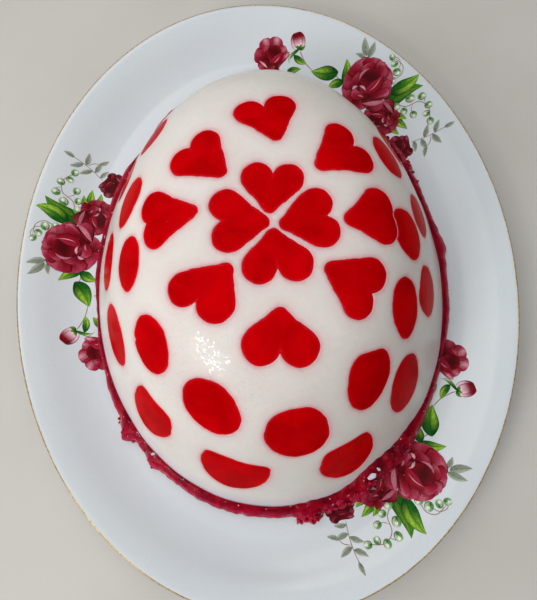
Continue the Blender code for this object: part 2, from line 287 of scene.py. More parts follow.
def heart_distance(heart, x, y):
    x, y = turned_plane(x, y, heart.turn)
    half_width, half_length = heart.width / 2, heart.length / 2
    tip = (heart.lean, half_length - HEART_TIP_RADIUS)
    lobe_a = (heart.lobe_a - half_width, heart.lobe_a - half_length + max(0.0, -heart.drop))
    lobe_b = (half_width - heart.lobe_b, heart.lobe_b - half_length + max(0.0, heart.drop))
    return smooth_min(taper_distance(x, y, lobe_a, heart.lobe_a, tip, HEART_TIP_RADIUS),
                      taper_distance(x, y, lobe_b, heart.lobe_b, tip, HEART_TIP_RADIUS), NOTCH_BLEND)


def disc_distance(disc, x, y):
    x, y = turned_plane(x, y, disc.turn)
    half_w, half_h = disc.width / 2, disc.height / 2
    scaled = np.hypot(x / half_w, y / half_h)
    steep = np.hypot(x / half_w ** 2, y / half_h ** 2)
    round_edge = scaled * (scaled - 1) / np.maximum(steep, 1e-6)
    if disc.cut <= 0:
        return round_edge
    return -smooth_min(-round_edge, half_h - disc.cut - y, CUT_BLEND)


class Inlay:
    """A red piece: its node, its place on the skin and its outline."""

    def __init__(self, node, row, measure, seed):
        self.node, self.row, self.measure = node, row, measure
        self.spot = skin_frame(row.bearing, row.reach)
        self.wobble = np.random.default_rng(seed).uniform(0, FULL_TURN, 8)
        self.shy_of = None
        # a point well inside the outline
        self.core = (0.0, 1.0) if measure is heart_distance else (0.0, 0.0)

    def distance(self, u, v):
        """Signed distance in mm, with the slight raggedness of a hand-cut edge."""
        angle = np.arctan2(v, u)
        ragged = sum(size * np.sin(number * angle + phase)
                     for (size, number), phase in zip(CUT_WAVES, self.wobble))
        value = self.measure(self.row, u, v) + ragged
        for node, nick_u, nick_v, radius in NICKS:
            if node == self.node:
                value = -smooth_min(-value, np.hypot(u - nick_u, v - nick_v) - radius, NOTCH_BLEND)
        if self.shy_of is not None:
            other = self.shy_of.plan_distance(*drop_on_skin(self.spot, u, v))
            value = np.maximum(value, OVERLAP_GAP - other)
        return value

    def plan_distance(self, x, y):
        """Distance in mm of plan points, along this piece's own cutting direction."""
        origin, sideways, uphill, _ = self.spot
        offset = np.stack([x, y, dome_height(x, y)], -1) - origin
        return self.distance(offset @ sideways / MM, offset @ uphill / MM)

    def loop(self, level, count):
        """Tangent-plane points where the distance equals level (mm, positive outside)."""
        angle = turn_angles(count) - math.pi / 2

        def at(reach):
            return self.core[0] + reach * np.cos(angle), self.core[1] + reach * np.sin(angle)

        def inside(reach):
            return self.distance(*at(reach)) < level
        return at(reach_while(inside, np.full(count, PIECE_REACH), rounds=22))


def make_inlays():
    inlays = []
    for stem, rows, measure in (("inner_heart", INNER_HEARTS, heart_distance),
                                ("outer_heart", OUTER_HEARTS, heart_distance),
                                ("shoulder_disc", SHOULDER_DISCS, disc_distance),
                                ("flank_disc", FLANK_DISCS, disc_distance)):
        for number, row in enumerate(rows, start=1):
            inlays.append(Inlay(f"{stem}_{number:02d}", row, measure, seed=100 + len(inlays)))
    by_node = {inlay.node: inlay for inlay in inlays}
    by_node["shoulder_disc_05"].shy_of = by_node["outer_heart_07"]
    return inlays


# ---------------------------------------------------------------- mesh helpers

LATTICE_ROW = 0.866          # from row to row of a triangular lattice, as a share of its pitch


def new_object(name, verts, faces, material, smooth=True, solid=True):
    mesh = bpy.data.meshes.new(name)
    mesh.from_pydata([tuple(v) for v in np.asarray(verts, float)], [],
                     [tuple(int(i) for i in face) for face in faces])
    if solid:
        shell = bmesh.new()
        shell.from_mesh(mesh)
        bmesh.ops.recalc_face_normals(shell, faces=shell.faces)
        shell.to_mesh(mesh)
        shell.free()
    mesh.update()
    obj = bpy.data.objects.new(name, mesh)
    bpy.context.scene.collection.objects.link(obj)
    if smooth:
        mesh.shade_smooth()
    mesh.materials.append(material)
    return obj


def closed_loop(start, count):
    """Pairs of neighbours round a loop of numbers."""
    return [(start + i, start + (i + 1) % count) for i in range(count)]


def staggered(pitch, columns, rows):
    """A triangular lattice of points about the origin."""
    row = np.repeat(np.arange(-rows, rows + 1), 2 * columns + 1)
    column = np.tile(np.arange(-columns, columns + 1), 2 * rows + 1)
    return (column + 0.5 * (row % 2)) * pitch, row * pitch * LATTICE_ROW


class Shell:
    """A closed mesh that grows ring by ring, with a value (a number or a colour) at each vertex."""

    def __init__(self):
        self.verts, self.values, self.faces, self.total = [], [], [], 0

    def add(self, points, value=0.0):
        """Adds vertices; gives their numbers."""
        self.verts.append(points)
        self.values.append(np.broadcast_to(value, (len(points), *np.shape(value)[1:])))
        self.total += len(points)
        return np.arange(self.total - len(points), self.total)

    def join(self, ring, other):
        """Quads between two rings of vertex numbers."""
        self.faces += zip(ring, np.roll(ring, -1), np.roll(other, -1), other)
        return other

    def close(self, ring, middle, value=0.0):
        """A fan of triangles from a ring to a new vertex in its middle."""
        hub = self.add(np.array([middle]), value)
        self.faces += zip(ring, np.roll(ring, -1), np.repeat(hub, len(ring)))

    def loft(self, rings, values):
        """Joins rings of new vertices one after another; gives the first and the last."""
        numbers = [self.add(points, value) for points, value in zip(rings, values)]
        for ring, other in zip(numbers, numbers[1:]):
            self.join(ring, other)
        return numbers[0], numbers[-1]

    def finish(self, name, material, attribute=None):
        """Makes the object. The attribute carries the values to the material."""
        piece = new_object(name, np.concatenate(self.verts), self.faces, material)
        values = np.concatenate(self.values)
        if values.ndim == 2:
            layer = piece.data.color_attributes.new(attribute, "FLOAT_COLOR", "POINT")
            rgba = np.hstack([values, np.ones((len(values), 1))])
            layer.data.foreach_set("color", rgba.astype(np.float32).ravel())
        elif attribute:
            layer = piece.data.attributes.new(attribute, "FLOAT", "POINT")
            layer.data.foreach_set("value", values.astype(np.float32))
        return piece


# ---------------------------------------------------------------- milk jelly dome

POCKET_POINTS = 112
FOOT_POINTS = 420
COLLAR_LEVELS = (0.3, 0.7, 1.25, 2.0)     # mm outside a pocket's edge
LIP = 0.10                                # mm that a pocket's edge is rounded down
POCKET_SPARE = 0.3                        # mm between a piece and its pocket's floor
DOME_PITCH = 1.30 * MM                    # between the points of the field
FIELD_REACH = 0.19                        # metres from the middle to the lattice's sides
FIELD_GAP = 0.55                          # mm from the last collar to the field
# loops under the foot: mm inward and mm below it
FOOT_LOOPS = ((0.25, -0.35), (0.9, -0.6), (4.0, -0.6))
NO_TINT = 99.0                            # mm, a distance at which no red shows
TINT_REACH = 0.030                        # metres from a piece's middle, past its tint
LEAST_POCKET = 1.5                        # mm, the depth of the shallowest side of a pocket


class Unrolled:
    """Maps plan points to a flat sheet whose radii are distances along the skin, and back."""

    def __init__(self):
        self.turns, self.steps = 240, 240
        self.angle = np.linspace(0, FULL_TURN, self.turns + 1)
        self.limit = foot_reach(self.angle)
        share = np.linspace(0, 1, self.steps + 1)
        reach = self.limit[:, None] * share
        height = dome_height(reach * np.cos(self.angle)[:, None], reach * np.sin(self.angle)[:, None])
        stride = np.hypot(np.diff(reach, axis=1), np.diff(height, axis=1))
        self.length = np.concatenate([np.zeros((self.turns + 1, 1)), np.cumsum(stride, axis=1)], axis=1)
        self.back = np.array([np.interp(share * row[-1], row, share) for row in self.length])

    def lookup(self, table, angle, share):
        column = np.clip(share, 0, 1) * self.steps
        row = (angle % FULL_TURN) / FULL_TURN * self.turns
        r0, c0 = np.minimum(row.astype(int), self.turns - 1), np.minimum(column.astype(int), self.steps - 1)
        fr, fc = row - r0, column - c0
        return ((table[r0, c0] * (1 - fc) + table[r0, c0 + 1] * fc) * (1 - fr)
                + (table[r0 + 1, c0] * (1 - fc) + table[r0 + 1, c0 + 1] * fc) * fr)

    def at_angle(self, angle, values):
        return np.interp(angle % FULL_TURN, self.angle, values)

    def flat(self, x, y):
        angle, reach = np.arctan2(y, x), np.hypot(x, y)
        length = self.lookup(self.length, angle, reach / self.at_angle(angle, self.limit))
        return length * np.cos(angle), length * np.sin(angle)

    def plan(self, qx, qy):
        angle, length = np.arctan2(qy, qx), np.hypot(qx, qy)
        share = self.lookup(self.back, angle, length / self.at_angle(angle, self.length[:, -1]))
        reach = share * self.at_angle(angle, self.limit)
        return reach * np.cos(angle), reach * np.sin(angle)


def nearest_distance(inlays, x, y, skip=None):
    """Distance in mm to the nearest red piece (NO_TINT where all are far)."""
    nearest = np.full(x.shape, NO_TINT)
    for inlay in inlays:
        if inlay is skip:
            continue
        origin = inlay.spot[0]
        close = np.hypot(x - origin[0], y - origin[1]) < TINT_REACH
        if close.any():
            nearest[close] = np.minimum(nearest[close], inlay.plan_distance(x[close], y[close]))
    return nearest


def field_points(inlays, sheet):
    """Plan points of an even lattice over the skin between the collars."""
    qx, qy = staggered(DOME_PITCH, int(FIELD_REACH / DOME_PITCH),
                       int(FIELD_REACH / (DOME_PITCH * LATTICE_ROW)))
    edge = sheet.at_angle(np.arctan2(qy, qx), sheet.length[:, -1])
    inside = np.hypot(qx, qy) < edge - 0.7 * DOME_PITCH
    x, y = sheet.plan(qx[inside], qy[inside])
    keep = nearest_distance(inlays, x, y) > COLLAR_LEVELS[-1] + FIELD_GAP
    return x[keep], y[keep]


def skin_points(inlays, sheet):
    """Plan points of the skin: the pockets' edges, the foot, collars that carry the tint, and a field."""
    parts = [drop_on_skin(inlay.spot, *inlay.loop(0.0, POCKET_POINTS)) for inlay in inlays]
    angle = turn_angles(FOOT_POINTS)
    reach = foot_reach(angle)
    parts.append((reach * np.cos(angle), reach * np.sin(angle)))
    for inlay in inlays:
        for level in COLLAR_LEVELS:
            x, y = drop_on_skin(inlay.spot, *inlay.loop(level, POCKET_POINTS))
            keep = nearest_distance(inlays, x, y, skip=inlay) > max(level, 0.25)
            parts.append((x[keep], y[keep]))
    parts.append(field_points(inlays, sheet))
    return np.concatenate(parts, axis=1)


def triangulate_skin(x, y, pockets, sheet):
    """Triangles whose edges keep the pockets and the foot; plan points, faces and each point's vertex."""
    edges = [pair for pocket in range(pockets) for pair in closed_loop(pocket * POCKET_POINTS, POCKET_POINTS)]
    edges += closed_loop(pockets * POCKET_POINTS, FOOT_POINTS)
    coords = [Vector(pair) for pair in zip(*(axis / MM for axis in sheet.flat(x, y)))]
    flat, _, faces, origins, _, _ = delaunay_2d_cdt(coords, edges, [], 0, 1e-5)
    plan, vertex_of = np.zeros((2, len(flat))), np.zeros(len(x), int)
    for index, origin in enumerate(origins):
        if origin:
            plan[:, index] = x[origin[0]], y[origin[0]]
            vertex_of[list(origin)] = index
    added = [index for index, origin in enumerate(origins) if not origin]
    if added:
        plan[:, added] = sheet.plan(*(np.array([flat[i][:] for i in added]).T * MM))
    return *plan, np.array([face[:] for face in faces]), vertex_of


def outside_pockets(inlays, x, y, faces, pocket_of):
    """The faces that don't lie in a pocket's mouth."""
    depth = nearest_distance(inlays, x[faces].mean(axis=1), y[faces].mean(axis=1))
    corners = pocket_of[faces]
    same_pocket = (corners[:, 0] >= 0) & (corners == corners[:, :1]).all(axis=1)
    return faces[~(same_pocket & (depth < 0.05)) & (depth > -0.3)]


def sunk(points, spot, depth, least):
    """Points moved straight down to a flat floor, depth mm under the skin, and by least mm or more."""
    down = (points - spot[0]) @ spot[3]
    return points - spot[3] * np.maximum(down + depth * MM, least * MM)[:, None]


def make_milk_dome(inlays, material):
    sheet = Unrolled()
    x, y, faces, vertex_of = triangulate_skin(*skin_points(inlays, sheet), len(inlays), sheet)
    foot_start = len(inlays) * POCKET_POINTS
    rims = vertex_of[:foot_start].reshape(-1, POCKET_POINTS)
    pocket_of = np.full(len(x), -1)
    for number, rim in enumerate(rims):
        pocket_of[rim] = number
    verts = skin(x, y, np.where(pocket_of >= 0, -LIP, 0.0) * MM)
    shell = Shell()
    shell.add(verts, np.maximum(nearest_distance(inlays, x, y), 0.0))
    shell.faces += list(outside_pockets(inlays, x, y, faces, pocket_of))
    for inlay, rim in zip(inlays, rims):
        lip = verts[rim] - inlay.spot[3] * 0.5 * MM
        floor = sunk(verts[rim], inlay.spot, INSET_DEPTH + POCKET_SPARE, LEAST_POCKET)
        first, last = shell.loft((lip, floor), (0.0, 0.0))
        shell.join(rim, first)
        shell.close(last, floor.mean(axis=0))
    # rounded foot and flat underside
    ring = vertex_of[foot_start:foot_start + FOOT_POINTS]
    foot = verts[ring]
    for inward, height in FOOT_LOOPS:
        scale = 1 - inward * MM / np.hypot(foot[:, 0], foot[:, 1])
        level = np.full(FOOT_POINTS, FOOT_LEVEL + height * MM)
        points = np.stack([foot[:, 0] * scale, foot[:, 1] * scale, level], -1)
        ring = shell.join(ring, shell.add(points, NO_TINT))
    shell.close(ring, (0.0, 0.0, FOOT_LEVEL + FOOT_LOOPS[-1][1] * MM), NO_TINT)
    dome = shell.finish("milk_jelly_dome", material, "halo")
    dome.data.transform(PLACE)
    return dome


# ---------------------------------------------------------------- red pieces

# loops from the seam inwards: inset and drop below the skin, mm
EDGE_LOOPS = ((SEAM, 0.22), (0.16, 0.10), (0.34, 0.03), (0.65, 0.0), (1.15, 0.0))
PIECE_PITCH = 1.15      # mm between the points of a piece's face
BACK_EDGE = 6.0         # mm from the edge, as the middle of the back is painted
LEAST_PIECE = 1.2       # mm, the height of the lowest side of a piece


def make_inlay_piece(inlay, material):
    count = POCKET_POINTS
    lattice = staggered(PIECE_PITCH, 20, 20)
    inside = inlay.distance(*lattice) < -EDGE_LOOPS[-1][0] - 0.55 * PIECE_PITCH
    loops = [inlay.loop(-inset, count) for inset, _ in EDGE_LOOPS]
    u, v = np.concatenate([*loops, [axis[inside] for axis in lattice]], axis=1)
    drop = np.concatenate([*[np.full(count, sink) for _, sink in EDGE_LOOPS], np.zeros(inside.sum())])
    points = [Vector(pair) for pair in zip(u, v)]
    _, _, faces, origins, _, _ = delaunay_2d_cdt(points, closed_loop(0, count), [], 1, 1e-6)
    source = np.array([origin[0] for origin in origins])
    vertex_of = np.empty(len(u), int)
    vertex_of[source] = np.arange(len(source))
    u, v, drop = u[source], v[source], drop[source]
    top = skin(*drop_on_skin(inlay.spot, u, v), -drop * MM)
    rim = vertex_of[:count]
    back = sunk(top[rim], inlay.spot, INSET_DEPTH, LEAST_PIECE)
    shell = Shell()
    shell.add(top, np.maximum(-inlay.distance(u, v), 0.0))
    shell.faces += [face[:] for face in faces]
    shell.close(shell.join(rim, shell.add(back)), back.mean(axis=0), BACK_EDGE)
    piece = shell.finish(inlay.node + "_red", material, "edge")
    piece.data.transform(PLACE)
    return piece


# ---------------------------------------------------------------- red jelly layer under the dome

LAYER_POINTS = 720
LAYER_THICKNESS = 7.0       # mm
# fraction of the dome, height in mm, share of the waves, share of the heaps
LAYER_SIDE = (
    (0.895, 7.0, 0.0, 1.0), (0.925, 7.0, 0.1, 1.0), (0.945, 7.0, 0.2, 0.95), (0.958, 6.9, 0.3, 0.85),
    (0.968, 6.5, 0.5, 0.72), (0.977, 5.9, 0.8, 0.56), (0.985, 5.1, 0.9, 0.40), (0.991, 4.2, 1.0, 0.26),
    (0.996, 3.2, 1.0, 0.14), (0.999, 2.1, 1.0, 0.05), (0.998, 1.1, 0.9, 0.0), (0.993, 0.5, 0.8, 0.0),
    (0.984, 0.1, 0.7, 0.0), (0.972, 0.0, 0.6, 0.0))
LAYER_WAVES = ((0.35, 3, 0.6), (0.30, 7, 2.1), (0.25, 11, 4.0))     # mm, count, phase
# rows of bearing, spread (degrees) and size: where the layer runs out or falls short of the foot, mm
LAYER_SPILLS = (
    (-170, 9, -3.0), (-153, 5, -1.2), (-134.5, 2.6, 4.6), (-124.5, 2.0, 2.6), (-106, 8, -0.8),
    (-83.5, 2.2, 6.0), (-77, 3.0, 3.0), (-71, 3.0, 5.0), (-58, 7, 2.2), (-27, 8, -1.2), (8, 7, 3.0),
    (40, 9, 3.6), (118, 6, 2.6), (131, 5, -3.6))
LAYER_HEAPS = ((-66, 7, 8.0), (-54, 8, 4.5), (-83, 5, 1.6), (42, 11, 2.6), (-134, 4, 0.8))    # rise in mm
LAYER_ROUGHNESS = ((-130, 12, 0.9), (-95, 14, 0.4), (-74, 12, 1.1), (42, 14, 0.5))


def spline(points, steps):
    """Catmull-Rom curve through the rows of points."""
    points = np.asarray(points, float)
    padded = np.vstack([2 * points[0] - points[1], points, 2 * points[-1] - points[-2]])
    share = np.linspace(0, 1, steps, endpoint=False)[:, None]
    rows = []
    for k in range(len(points) - 1):
        a, b, c, d = padded[k:k + 4]
        rows.append(0.5 * (2 * b + (c - a) * share + (2 * a - 5 * b + 4 * c - d) * share ** 2
                           + (3 * b - a - 3 * c + d) * share ** 3))
    return np.vstack(rows + [points[-1:]])


def round_noise(angle, lowest, highest, count, rng):
    """Smooth noise round a loop, about -1 to 1, from waves of the given counts."""
    total = np.zeros_like(angle)
    for number in rng.integers(lowest, highest, count):
        total += np.sin(number * angle + rng.uniform(0, FULL_TURN)) * rng.uniform(0.5, 1.0)
    return total / math.sqrt(count)


def around(bearing, rows):
    """Sum of smooth swellings round the foot, from rows of bearing, spread (degrees) and size."""
    return sum(size * np.exp(-(((bearing - place + 180) % 360 - 180) / spread) ** 2)
               for place, spread, size in rows)


def dome_oval(angle, fraction):
    """Plan points of the dome's oval at a fraction of its size."""
    return (fraction * DOME_HALF_X * np.cos(angle) * (1 - DOME_TAPER * fraction * np.sin(angle)),
            fraction * DOME_HALF_Y * np.sin(angle))


def make_red_layer(material):
    """The layer, whose side is uneven, spills out and is heaped up where the rows say."""
    angle = turn_angles(LAYER_POINTS)
    x, y = dome_oval(angle, 1.0)
    bearing = np.degrees(np.arctan2(y, x))
    waves = sum(size * np.sin(number * angle + phase) for size, number, phase in LAYER_WAVES)
    rough = 0.25 + around(bearing, LAYER_ROUGHNESS)
    ragged = 0.50 * round_noise(angle, 14, 60, 9, RNG) + 0.30 * round_noise(angle, 60, 170, 9, RNG)
    spill = around(bearing, LAYER_SPILLS) * (1 + 0.22 * round_noise(angle, 40, 110, 8, RNG))
    heap = around(bearing, LAYER_HEAPS) * (1 + 0.16 * round_noise(angle, 30, 110, 8, RNG))
    lumps = [round_noise(angle, 20, 120, 8, RNG) for _ in range(8)]
    side = spline(LAYER_SIDE, 3)
    rings = []
    for k, (fraction, height, share, heaped) in enumerate(side):
        x, y = dome_oval(angle, fraction)
        place = k / (len(side) - 1) * (len(lumps) - 1)
        low = int(min(place, len(lumps) - 2))
        local = lumps[low] * (1 - place + low) + lumps[low + 1] * (place - low)
        push = (waves + ragged * rough + 0.2 * local * rough) * share
        push += spill * max(0.0, 1 - height / LAYER_THICKNESS) ** 0.6 + 0.25 * heap * heaped * share
        scale = 1 + push * MM / np.hypot(x, y)
        bulge = math.sin(math.pi * min(1.0, height / LAYER_THICKNESS))
        sag = (0.15 + 0.2 * rough) * local * share * bulge
        z = np.clip(height + sag, 0.0, LAYER_THICKNESS - 0.02) + heap * heaped * (1 + 0.16 * local)
        rings.append(np.stack([x * scale, y * scale, z * MM], -1))
    shell = Shell()
    first, last = shell.loft(rings, np.arange(len(side)) / (len(side) - 1))
    shell.close(first, (0, 0, LAYER_THICKNESS * MM), 0.0)
    shell.close(last, (0, 0, 0), 1.0)
    layer = shell.finish("red_layer_wet_edge", material, "rim")
    layer.data.transform(PLACE)
    return layer


# ---------------------------------------------------------------- broken bits of jelly

# rows of bearing, spread (degrees), distance outside the foot, spread (mm), number, smallest and largest (mm)
RED_CRUMBS = (
    (-83.5, 1.6, 7.6, 1.5, 14, 2.2, 4.6), (-77, 3.0, 5.6, 1.4, 14, 2.0, 4.4),
    (-69, 4.0, 5.0, 1.6, 16, 1.8, 4.4), (-60, 5.0, 4.4, 1.3, 12, 1.6, 3.2),
    (-134.5, 2.4, 6.4, 1.0, 9, 1.4, 2.6), (-125, 2.0, 5.4, 0.9, 6, 1.0, 2.0),
    (-112, 8.0, 5.0, 0.8, 8, 0.5, 1.1), (42, 6.0, 6.0, 1.2, 12, 1.4, 3.0),
    (0, 110, 4.8, 0.5, 34, 0.35, 0.8))
# white crumbs in the same columns: the back-right row is partly broken jelly and partly painted glare; the
# small beads at -132 and -124 are painted glints on the wet foot
WHITE_CRUMBS_AND_GLINTS = ((72, 4.5, 8.0, 1.2, 16, 0.9, 2.4), (-132, 3.5, 0.6, 0.7, 6, 0.4, 0.8),
                (-124, 3.0, 1.0, 0.6, 3, 0.4, 0.7))
# larger white chips: bearing, distance outside the foot, (length, width, height) in mm, turn in degrees. The
# chip at -125 is a painted glint, and the back-right row from 66.5 to 80 is partly broken jelly and partly
# painted glare along the foot
WHITE_CHIPS_AND_GLINTS = (
    (-67.2, 0.4, (6.0, 3.6, 2.2), 20), (-64.9, -0.2, (2.4, 1.6, 1.2), -25),
    (-125.0, 1.2, (2.0, 1.5, 1.3), 15), (66.5, 7.2, (4.2, 1.6, 1.0), -38),
    (70.0, 8.2, (4.8, 1.7, 1.0), -30), (73.5, 8.8, (4.4, 1.5, 1.0), -25),
    (77.0, 9.4, (4.6, 1.6, 0.9), -20), (80.0, 10.0, (3.4, 1.3, 0.8), -12))
BIT_WAVES = 5           # waves that dent a bit, and planes that cut it at some depth from its middle
BIT_CUTS = 8
BIT_CUT_DEPTHS = (0.22, 0.38)
STANDING_SHARE = 0.7    # how much of a bit's lower part stands above what it rests on
ABOVE_ALL = 0.2         # metres, higher than anything a bit could rest on


def nugget(rng):
    """Verts and faces of a broken lump about one unit across: a ball dented by waves and cut by planes."""
    shape = bmesh.new()
    bmesh.ops.create_icosphere(shape, subdivisions=3, radius=0.5)
    verts = np.array([vert.co[:] for vert in shape.verts])
    faces = [[vert.index for vert in face.verts] for face in shape.faces]
    shape.free()
    swell = np.ones(len(verts))
    for _ in range(BIT_WAVES):
        swell += 0.07 * np.sin(verts @ rng.normal(0, 6, 3) + rng.uniform(0, FULL_TURN))
    verts = verts * swell[:, None]
    for _ in range(BIT_CUTS):
        normal = rng.normal(0, 1, 3)
        normal /= np.linalg.norm(normal)
        verts = verts - normal * np.maximum(verts @ normal - rng.uniform(*BIT_CUT_DEPTHS), 0)[:, None]
    return verts, faces


def turned(verts, rng, yaw=None):
    """The verts turned at random, or only by yaw degrees about the vertical."""
    if yaw is None:
        axes = np.linalg.qr(rng.normal(0, 1, (3, 3)))[0]
        return verts @ axes
    cosine, sine = math.cos(math.radians(yaw)), math.sin(math.radians(yaw))
    return verts @ np.array([[cosine, sine, 0], [-sine, cosine, 0], [0, 0, 1]])


def resting_height(objects):
    """A function that finds the highest surface of the objects under a point."""
    trees = [BVHTree.FromPolygons([vert.co for vert in one.data.vertices],
                                  [tuple(face.vertices) for face in one.data.polygons]) for one in objects]

    def height(x, y):
        hits = [tree.ray_cast(Vector((x, y, ABOVE_ALL)), Vector((0, 0, -1)))[0] for tree in trees]
        return max(hit.z for hit in hits if hit is not None)
    return height


def foot_place(bearing, outside):
    """Plan point at a bearing (degrees) and distance outside the foot (mm)."""
    angle = math.radians(bearing)
    reach = float(foot_reach(np.array([angle]))[0]) + outside * MM
    point = PLACE @ Vector((reach * math.cos(angle), reach * math.sin(angle), 0.0))
    return point.x, point.y


def make_crumbs(name, rows, chips, material, rest_on, seed):
    rng = np.random.default_rng(seed)
    bits = []
    for bearing, spread, outside, depth, number, smallest, largest in rows:
        for _ in range(number):
            # mostly small ones, each thinner than it is long
            size = smallest + (largest - smallest) * rng.random() ** 1.8
            place = foot_place(bearing + rng.normal(0, spread), outside + rng.normal(0, depth))
            bits.append((place, np.array([1.0, rng.uniform(0.6, 1.0), rng.uniform(0.5, 0.8)]) * size, None))
    bits += [(foot_place(bearing, outside), np.array(size), yaw) for bearing, outside, size, yaw in chips]
    height = resting_height(rest_on)
    shell = Shell()
    for (x, y), size, yaw in bits:
        lump, faces = nugget(rng)
        lump = turned(lump * size, rng, yaw) * MM
        z = height(x, y) - lump[:, 2].min() * STANDING_SHARE
        numbers = shell.add(lump + np.array([x, y, z]), rng.uniform(0.0, 0.9))
        shell.faces += [numbers[face] for face in faces]
    return shell.finish(name, material, "rim")


# ---------------------------------------------------------------- plate

PLATE_TOP_CURVE = spline(PLATE_TOP, 4)
FAR_INSET = 0.12        # metres in from the rim, nearly to the middle of the plate


def plate_oval(inset, height, count):
    """Points round the plate, at a distance in from its rim and a height in mm."""
    angle = turn_angles(count)
    return np.stack([(PLATE_HALF_X - inset * MM) * np.cos(angle), (PLATE_HALF_Y - inset * MM) * np.sin(angle),
                     np.full(count, height * MM)], -1)


def make_plate(material):
    path = [*WELL_LOOPS, *PLATE_TOP_CURVE[::-1], *spline(PLATE_UNDER, 3), UNDERSIDE_LOOP]
    shell = Shell()
    first, last = shell.loft([plate_oval(*row, PLATE_SEGMENTS) for row in path], [0.0] * len(path))
    shell.close(first, (0, 0, WELL_LOOPS[0][1] * MM))
    shell.close(last, (0, 0, UNDERSIDE_LOOP[1] * MM))
    return shell.finish("plate_glazed", material)


def make_gold_rim(material):
    uneven = 0.10 * round_noise(turn_angles(GOLD_POINTS), 5, 40, 8, RNG)
    ends = (0, len(GOLD_PATH) - 1)
    rings = [plate_oval(inset + uneven * (k in ends), height, GOLD_POINTS)
             for k, (inset, height) in enumerate(GOLD_PATH)]
    shell = Shell()
    first, last = shell.loft(rings, [0.0] * len(rings))
    shell.join(last, first)
    return shell.finish("plate_gold_line", material)


def plate_surface(x, y):
    """Height of the plate's upper face under points (metres)."""
    def on_plate(inset):
        return (x / (PLATE_HALF_X - inset)) ** 2 + (y / (PLATE_HALF_Y - inset)) ** 2 <= 1
    inset = reach_while(on_plate, np.full_like(x, FAR_INSET), rounds=26)
    return np.interp(inset / MM, PLATE_TOP_CURVE[:, 0], PLATE_TOP_CURVE[:, 1]) * MM


# ---------------------------------------------------------------- painted sprays

def srgb(*values):
    value = np.array(values, float) / 255
    return np.where(value <= 0.04045, value / 12.92, ((value + 0.055) / 1.055) ** 2.4)


def clip(value, top=1.0):
    return np.clip(value, 0, top)


def blend(first, second, share):
    share = clip(share)[..., None]
    return first * (1 - share) + second * share


def ridge(value, middle, width):
    """A smooth ridge, 1 at the middle."""
    return np.exp(-((value - middle) / width) ** 2)


WINE, BURGUNDY, ROSE = srgb(92, 0, 10), srgb(142, 8, 28), srgb(172, 32, 66)
MAUVE, BLUSH, PALE = srgb(186, 92, 128), srgb(216, 120, 144), srgb(240, 196, 208)
DEEPEST, BUD_ROOT = WINE * 0.7, srgb(222, 216, 232)
LEAF_DARK, LEAF_MID, LEAF_LIME = srgb(6, 66, 12), srgb(32, 118, 24), srgb(152, 196, 58)
VEIN = srgb(22, 48, 14)
BELL_WHITE, BELL_GREEN, BELL_LINE = srgb(218, 226, 200), srgb(92, 148, 78), srgb(104, 100, 58)
BELL_LIGHT = srgb(244, 246, 240)
STEM_BROWN, STEM_OLIVE = srgb(134, 84, 76), srgb(104, 116, 56)
SPRIG_PALE, SPRIG_GREY = srgb(184, 190, 174), srgb(112, 124, 104)

# petals in radii: start x, y, end x, y, width, bend, depth of tone (0 wine to 1 rose), lit side, light
ROSE_PETALS = (
    (-0.3, 0.3, -0.7, 0.8, 1.0, 0.0, 0.55, 0.3, 0.4), (0.05, 0.3, 0.02, 1.02, 0.95, 0.0, 0.3, -0.3, 0.25),
    (0.25, 0.22, 0.72, 0.8, 1.0, 0.0, 0.45, 0.5, 0.6), (0.35, 0.08, 1.02, 0.16, 0.85, 0.02, 0.3, 0.6, 0.55),
    (0.4, -0.15, 0.88, -0.46, 0.85, 0.04, 0.45, -0.5, 0.5),
    (0.25, -0.3, 0.54, -0.88, 0.8, 0.02, 0.5, 0.1, 0.6),
    (-0.55, 0.25, -1.02, -0.16, 0.8, -0.05, 0.35, -0.4, 0.3),
    (-0.6, -0.05, -0.54, -0.94, 0.75, 0.06, 0.05, 0.4, 0.15),
    (-0.15, -0.35, 0.1, -1.02, 0.8, 0.0, 0.35, -0.6, 0.35),
    (-0.5, -0.2, 0.02, -0.95, 0.42, 0.06, 0.7, 0.7, 0.8),
    (0.38, -0.1, 0.74, -0.5, 0.62, 0.1, 0.3, 0.5, 0.35),
    (0.35, 0.05, 0.74, 0.32, 0.66, 0.0, 0.2, -0.4, 0.4), (0.0, 0.15, 0.14, 0.66, 0.78, 0.0, 0.05, 0.4, 0.2),
    (-0.3, -0.28, -0.44, 0.5, 0.58, -0.06, 0.4, 0.5, 0.45))
# strokes laid over them: start x, y, end x, y, width, bend and how light they are (0 wine to 1 palest)
ROSE_STROKES = (
    (-0.6, -0.18, -0.2, -0.94, 0.1, 0.06, 0.0), (-0.34, 0.05, 0.12, 0.44, 0.12, -0.2, 0.0),
    (-0.76, -0.08, -0.36, -1.0, 0.2, 0.05, 0.66), (0.06, 0.36, 0.6, 0.12, 0.1, -0.22, 0.66),
    (-0.35, 0.5, -0.14, 0.34, 0.11, -0.2, 0.85), (-0.24, -0.03, -0.12, 0.3, 0.09, 0.18, 0.9),
    (-0.5, -0.06, -0.5, 0.22, 0.08, 0.1, 0.65), (-0.2, -0.18, 0.44, -0.42, 0.035, 0.1, 0.85),
    (0.56, 0.74, 0.86, 0.54, 0.06, -0.15, 0.55), (0.86, -0.1, 0.92, -0.4, 0.06, -0.12, 0.6),
    (0.3, -0.74, 0.64, -0.66, 0.07, 0.2, 0.6), (-0.8, 0.62, -0.54, 0.8, 0.05, -0.15, 0.5))
